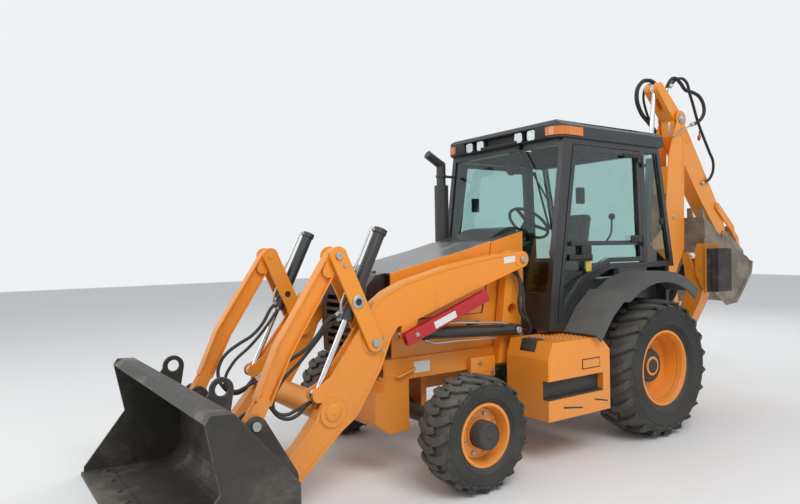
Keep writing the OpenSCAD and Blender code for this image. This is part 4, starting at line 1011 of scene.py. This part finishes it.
class LOADER_OT_loader_fittings(bpy.types.Operator):
    """Adds the loader's pins, bolts, hoses, pipes and labels"""

    bl_idname = "loader.loader_fittings"
    bl_label = "Loader fittings"

    def execute(self, context):
        pin_heads("arm_pins", 30, [(1308, 608, 1590), (2757, 632, 1054), (2470, 602, 1080)], "arms")
        pin_heads("bucket_pins", 30, [(3430, 638, 262), (3630, 638, 630)], "loader_bucket")
        pin_heads("bellcrank_pins", 27, [(3032, 632, 1653)], "bellcranks")
        pin_heads("lift_foot_pins", 28, [(1371, 603, 1019)], "chassis")
        keepers = both_sides((2690, 628, 1082), (2700, 628, 1000), (2990, 628, 1585))
        bolts("pin_keeper_bolts", 11, keepers, "bellcranks")
        bolts("strut_bolts", 15, [((2430, 661, 1083), (0, 1, 0))], "arms")
        rings = turned([(24, 0), (46, 0), (46, 6), (38, 10), (24, 10)], steps=36)
        piece(spread(rings, stands(on_tilt(0, 0, 628))), "trunnion_discs", "zinc_plate", "bellcranks")
        disc = turned([(0, 0), (60, 0), (60, 5), (54, 9), (16, 9), (12, 13), (0, 13)], steps=40)
        piece(spread(disc, stands((3082, 606, 623))), "torque_discs", "orange_paint", "arms")
        bolts("edge_bolts", 16, [((4190, y, 25), (0, 0, 1)) for y in range(-1000, 1001, 250)],
              "loader_bucket", "worn_steel")
        self.pipes()
        self.labels()
        return {"FINISHED"}

    def pipes(self):
        line("tilt_loop_hose", [
            (2975, 530, 1268), (3040, 490, 1225), (3117, 466, 1120), (3205, 462, 1037),
            (3326, 462, 973), (3420, 465, 909), (3467, 468, 841), (3481, 470, 747), (3448, 470, 667),
            (3369, 470, 601), (3286, 475, 609), (3212, 482, 674), (3150, 490, 700)
        ], 13, "bellcranks", far="arms")
        line("tilt_loop_hose_inner", [
            (2960, 520, 1230), (3030, 460, 1170), (3130, 440, 1060), (3230, 440, 960), (3380, 444, 830),
            (3439, 446, 700), (3421, 448, 650), (3348, 450, 620), (3275, 452, 640), (3202, 455, 669),
            (3150, 460, 690)
        ], 12, "bellcranks", far="arms")
        line("arm_pipe_upper", [
            (3150, 490, 700), (3030, 492, 830), (2880, 492, 1010), (2700, 492, 1230), (2560, 492, 1330),
            (2300, 492, 1410), (1900, 492, 1500), (1420, 492, 1590)
        ], 9, "arms", "zinc_plate", 60)
        line("arm_pipe_lower", [
            (3150, 460, 690), (3010, 462, 800), (2860, 462, 980), (2680, 462, 1200), (2540, 462, 1290),
            (2290, 462, 1370), (1890, 462, 1460), (1420, 462, 1550)
        ], 9, "arms", "zinc_plate", 60)
        line("tilt_pipe", [
            on_tilt(-520, 38, 552), on_tilt(-520, 78, 552), on_tilt(40, 78, 552), on_tilt(84, 62, 552),
            on_tilt(110, 38, 552)
        ], 9, "tilt_barrels", "zinc_plate", 26)
        collar = turned([(43, -18), (50, -18), (50, 18), (43, 18)], steps=32)
        way = Vector((TILT_WAY[0], 0, TILT_WAY[1]))
        collars = [aim(at(*on_tilt(u, 0, s * 552.5)), way) for u in (-528, 118) for s in (1, -1)]
        piece(spread(collar, collars), "tilt_collars", "black_paint", "tilt_barrels")
        line("lift_pipe", [
            (2240, 560, 1118), (2180, 600, 1138), (2000, 606, 1128), (1640, 606, 1100),
            (1520, 606, 1085)
        ], 9, "lift_barrels", "zinc_plate", 30)
        line("lift_pipe_lower", [
            (2289, 560, 1015), (2209, 566, 985), (1993, 566, 985), (1751, 566, 975), (1609, 562, 972)
        ], 9, "lift_barrels", "zinc_plate", 30)
        line("tower_hose_upper", [
            (1420, 500, 1588), (1340, 545, 1500), (1322, 580, 1338), (1346, 585, 1250),
            (1314, 585, 1132), (1241, 580, 1074), (1205, 560, 1018), (1215, 470, 960)
        ], 14, "chassis")
        line("tower_hose_lower", [
            (1420, 470, 1548), (1300, 530, 1450), (1275, 565, 1300), (1285, 570, 1208),
            (1268, 570, 1141), (1223, 565, 1072), (1190, 550, 985), (1200, 470, 930)
        ], 14, "chassis")

    def labels(self):
        strut = plate([(2280, 1158), (2080, 1229), (2062, 1180), (2262, 1109)], 660.4, 661.6, 0)
        piece(strut, "strut_labels", "white_label", "arms")
        arm = plate([(1520, 1612), (1390, 1626), (1384, 1572), (1514, 1556)], 595.4, 596.6, 0)
        piece(arm, "arm_labels", "white_label", "arms")


class LOADER_OT_frame_fittings(bpy.types.Operator):
    """Adds the brackets, steps, labels and bolts of the frame and its side boxes"""

    bl_idname = "loader.frame_fittings"
    bl_label = "Frame fittings"

    def execute(self, context):
        label = block((2141, 2293), (420.3, 421.6), (756, 840), 0)
        piece(label, "frame_labels", "white_label", "chassis")
        box = [block((1510, 1769), (420, 470), (655, 815), 6),
               block((1500, 1780), (420, 452), (640, 656), 4)]
        piece(mirrored(join(box)), "valve_covers", "orange_paint", "chassis")
        bolts("valve_bolts", 16, both_sides((1675, 470, 770), (1545, 470, 690)), "chassis")
        handle = tube([(2460, 421, 748), (2450, 452, 752), (2302, 452, 794), (2292, 421, 798)], 10, 20)
        piece(mirrored(handle), "tie_down_loops", "orange_paint", "chassis")
        mat = plate([(1452, 876), (1450, 884), (1422, 967), (1340, 967), (1340, 961), (1418, 961)], 690, 850)
        piece(mirrored(mat), "box_mats", "black_plastic", "chassis")
        clamp = turned([(45, -12), (54, -12), (54, 12), (45, 12)], steps=32)
        stay = block((975, 1126), (-634, -606), (2378, 2402), 4)
        piece(join([spread(clamp, [aim(at(1172, -620, z), (0, 0, 1)) for z in (1640, 2390)]), stay]),
              "exhaust_clamps", "black_paint", "chassis")
        bolts("box_bolts", 14, [((1330, y, 967), (0, 0, 1)) for y in (700, -700, 820, -820)], "chassis")
        self.steps()
        self.grip()
        return {"FINISHED"}

    def steps(self):
        """Tread of the step slots, and the plate over the left one"""
        step = [block((835, 1462), (945, 996), (527, 534), 2),
                block((833, 1466), (941, 945), (528, 668), 1)]
        ridge = block((846, 858), (948, 994), (534, 540), 1)
        ridges = spread(ridge, [Matrix.Translation((0.034 * i, 0, 0)) for i in range(18)])
        piece(mirrored(join(step + [ridges])), "step_treads", "black_plastic", "chassis")
        badge = block((870, 1085), (1000, 1003.5), (720, 800), 5)
        piece(badge, "box_plates", "black_plastic", "chassis")
        face = block((878, 1077), (1003.5, 1004.5), (728, 792), 0)
        piece(face, "box_plate_faces", "orange_paint", "chassis")
        wave = [plate([(1305, 462), (1084, 430), (1084, 418), (1305, 448)], 1000, 1001.5, 0),
                plate([(939, 474), (780, 440), (780, 428), (939, 462)], 1000, 1001.5, 0)]
        piece(mirrored(join(wave)), "box_slots", "black_plastic", "chassis")

    def grip(self):
        """Raised studs on top of the side boxes"""
        stud = turned([(0, 0), (9, 0), (7, 4), (4, 5), (0, 5)], steps=10)
        places = [Matrix.Translation(at(890 + 44 * i, 620 + 46 * j, 960))
                  for i in range(8) for j in range(8)]
        piece(mirrored(spread(stud, places)), "grip_studs", "orange_paint", "chassis")


class LOADER_OT_backhoe_fittings(bpy.types.Operator):
    """Adds the pins, pipes and hoses of the backhoe"""

    bl_idname = "loader.backhoe_fittings"
    bl_label = "Backhoe fittings"

    def execute(self, context):
        pin_heads("boom_tip_pin", 36, [(-1760, 132, 3120)], "boom")
        pin_heads("boom_ear_pins", 26, [(-1590, 118, 2000)], "boom")
        line("boom_hose", [
            (-1932, 136, 3064), (-2000, 160, 3090), (-2090, 178, 3160), (-2135, 176, 3260),
            (-2080, 160, 3390), (-1960, 140, 3440), (-1830, 130, 3455), (-1740, 120, 3530),
            (-1670, 100, 3575), (-1600, 80, 3530), (-1560, 56, 3420)
        ], 20, "boom", twin=False)
        line("dipper_hose", [
            (-1640, 60, 3480), (-1700, 96, 3560), (-1800, 130, 3572), (-1918, 140, 3386),
            (-2044, 140, 3141), (-2141, 135, 3001), (-2306, 130, 2788), (-2408, 125, 2640),
            (-2360, 115, 2480), (-2200, 100, 2400)
        ], 16, "dipper", twin=False)
        line("boom_hose_right", [
            (-1700, -130, 2950), (-1580, -160, 3080), (-1400, -170, 3230), (-1335, -165, 3400),
            (-1400, -160, 3530), (-1520, -150, 3585), (-1650, -140, 3560), (-1740, -130, 3470),
            (-1790, -120, 3380)
        ], 24, "boom", twin=False)
        line("boom_hose_inner", [
            (-1700, -128, 2900), (-1600, -140, 3050), (-1450, -130, 3240), (-1400, -120, 3400),
            (-1460, -118, 3500), (-1560, -116, 3530), (-1680, -112, 3480), (-1720, -110, 3380)
        ], 14, "boom", twin=False)
        line("elbow_pipe", [
            (-1496, 132, 3040), (-1500, 132, 2930), (-1573, 132, 2899), (-1763, 132, 2988),
            (-1860, 132, 3030), (-1932, 136, 3064)
        ], 9, "boom", "zinc_plate", 40, twin=False)
        cap = turned([(0, 0), (16, 0), (20, 12), (18, 40), (12, 62), (0, 64)],
                     aim(at(-2071, 150, 2951), (0.2, 0, -1)), 20)
        piece(cap, "red_cap", "red_paint", "dipper")
        strap = tube([(-2112, 138, 3044), (-2080, 150, 3006), (-2071, 150, 2945)], 7)
        piece(strap, "cap_strap", "hose_rubber", "dipper")
        cover = turned([(0, 0), (58, 0), (58, 5), (52, 8), (0, 8)], steps=32)
        piece(spread(cover, stands((-1760, 124, 3120))), "tip_washers", "zinc_plate", "boom")
        line("tower_hoses", [
            (-1080, 150, 960), (-1180, 190, 1010), (-1330, 205, 1040), (-1480, 190, 1010),
            (-1600, 150, 1020)
        ], 14, "chassis")
        return {"FINISHED"}


STEPS = [LOADER_OT_stage, LOADER_OT_finishes, LOADER_OT_tyres, LOADER_OT_hubs, LOADER_OT_cab_fittings,
         LOADER_OT_seat, LOADER_OT_loader_fittings, LOADER_OT_frame_fittings, LOADER_OT_backhoe_fittings]


class LOADER_PT_panel(bpy.types.Panel):
    """Lists the steps that dress the machine"""

    bl_label = "Backhoe Loader"
    bl_idname = "LOADER_PT_panel"
    bl_space_type = "VIEW_3D"
    bl_region_type = "UI"
    bl_category = "Backhoe Loader"

    def draw(self, context):
        for name in Sizes.__annotations__:
            self.layout.prop(context.scene.loader_sizes, name)
        for step in STEPS:
            self.layout.operator(step.bl_idname)


CLASSES = [Sizes, *STEPS, LOADER_PT_panel]


def register():
    for cls in CLASSES:
        bpy.utils.register_class(cls)
    bpy.types.Scene.loader_sizes = bpy.props.PointerProperty(type=Sizes)


def unregister():
    del bpy.types.Scene.loader_sizes
    for cls in reversed(CLASSES):
        bpy.utils.unregister_class(cls)


def main():
    register()
    for step in STEPS:
        group, name = step.bl_idname.split(".")
        getattr(getattr(bpy.ops, group), name)()


if __name__ == "__main__":
    main()
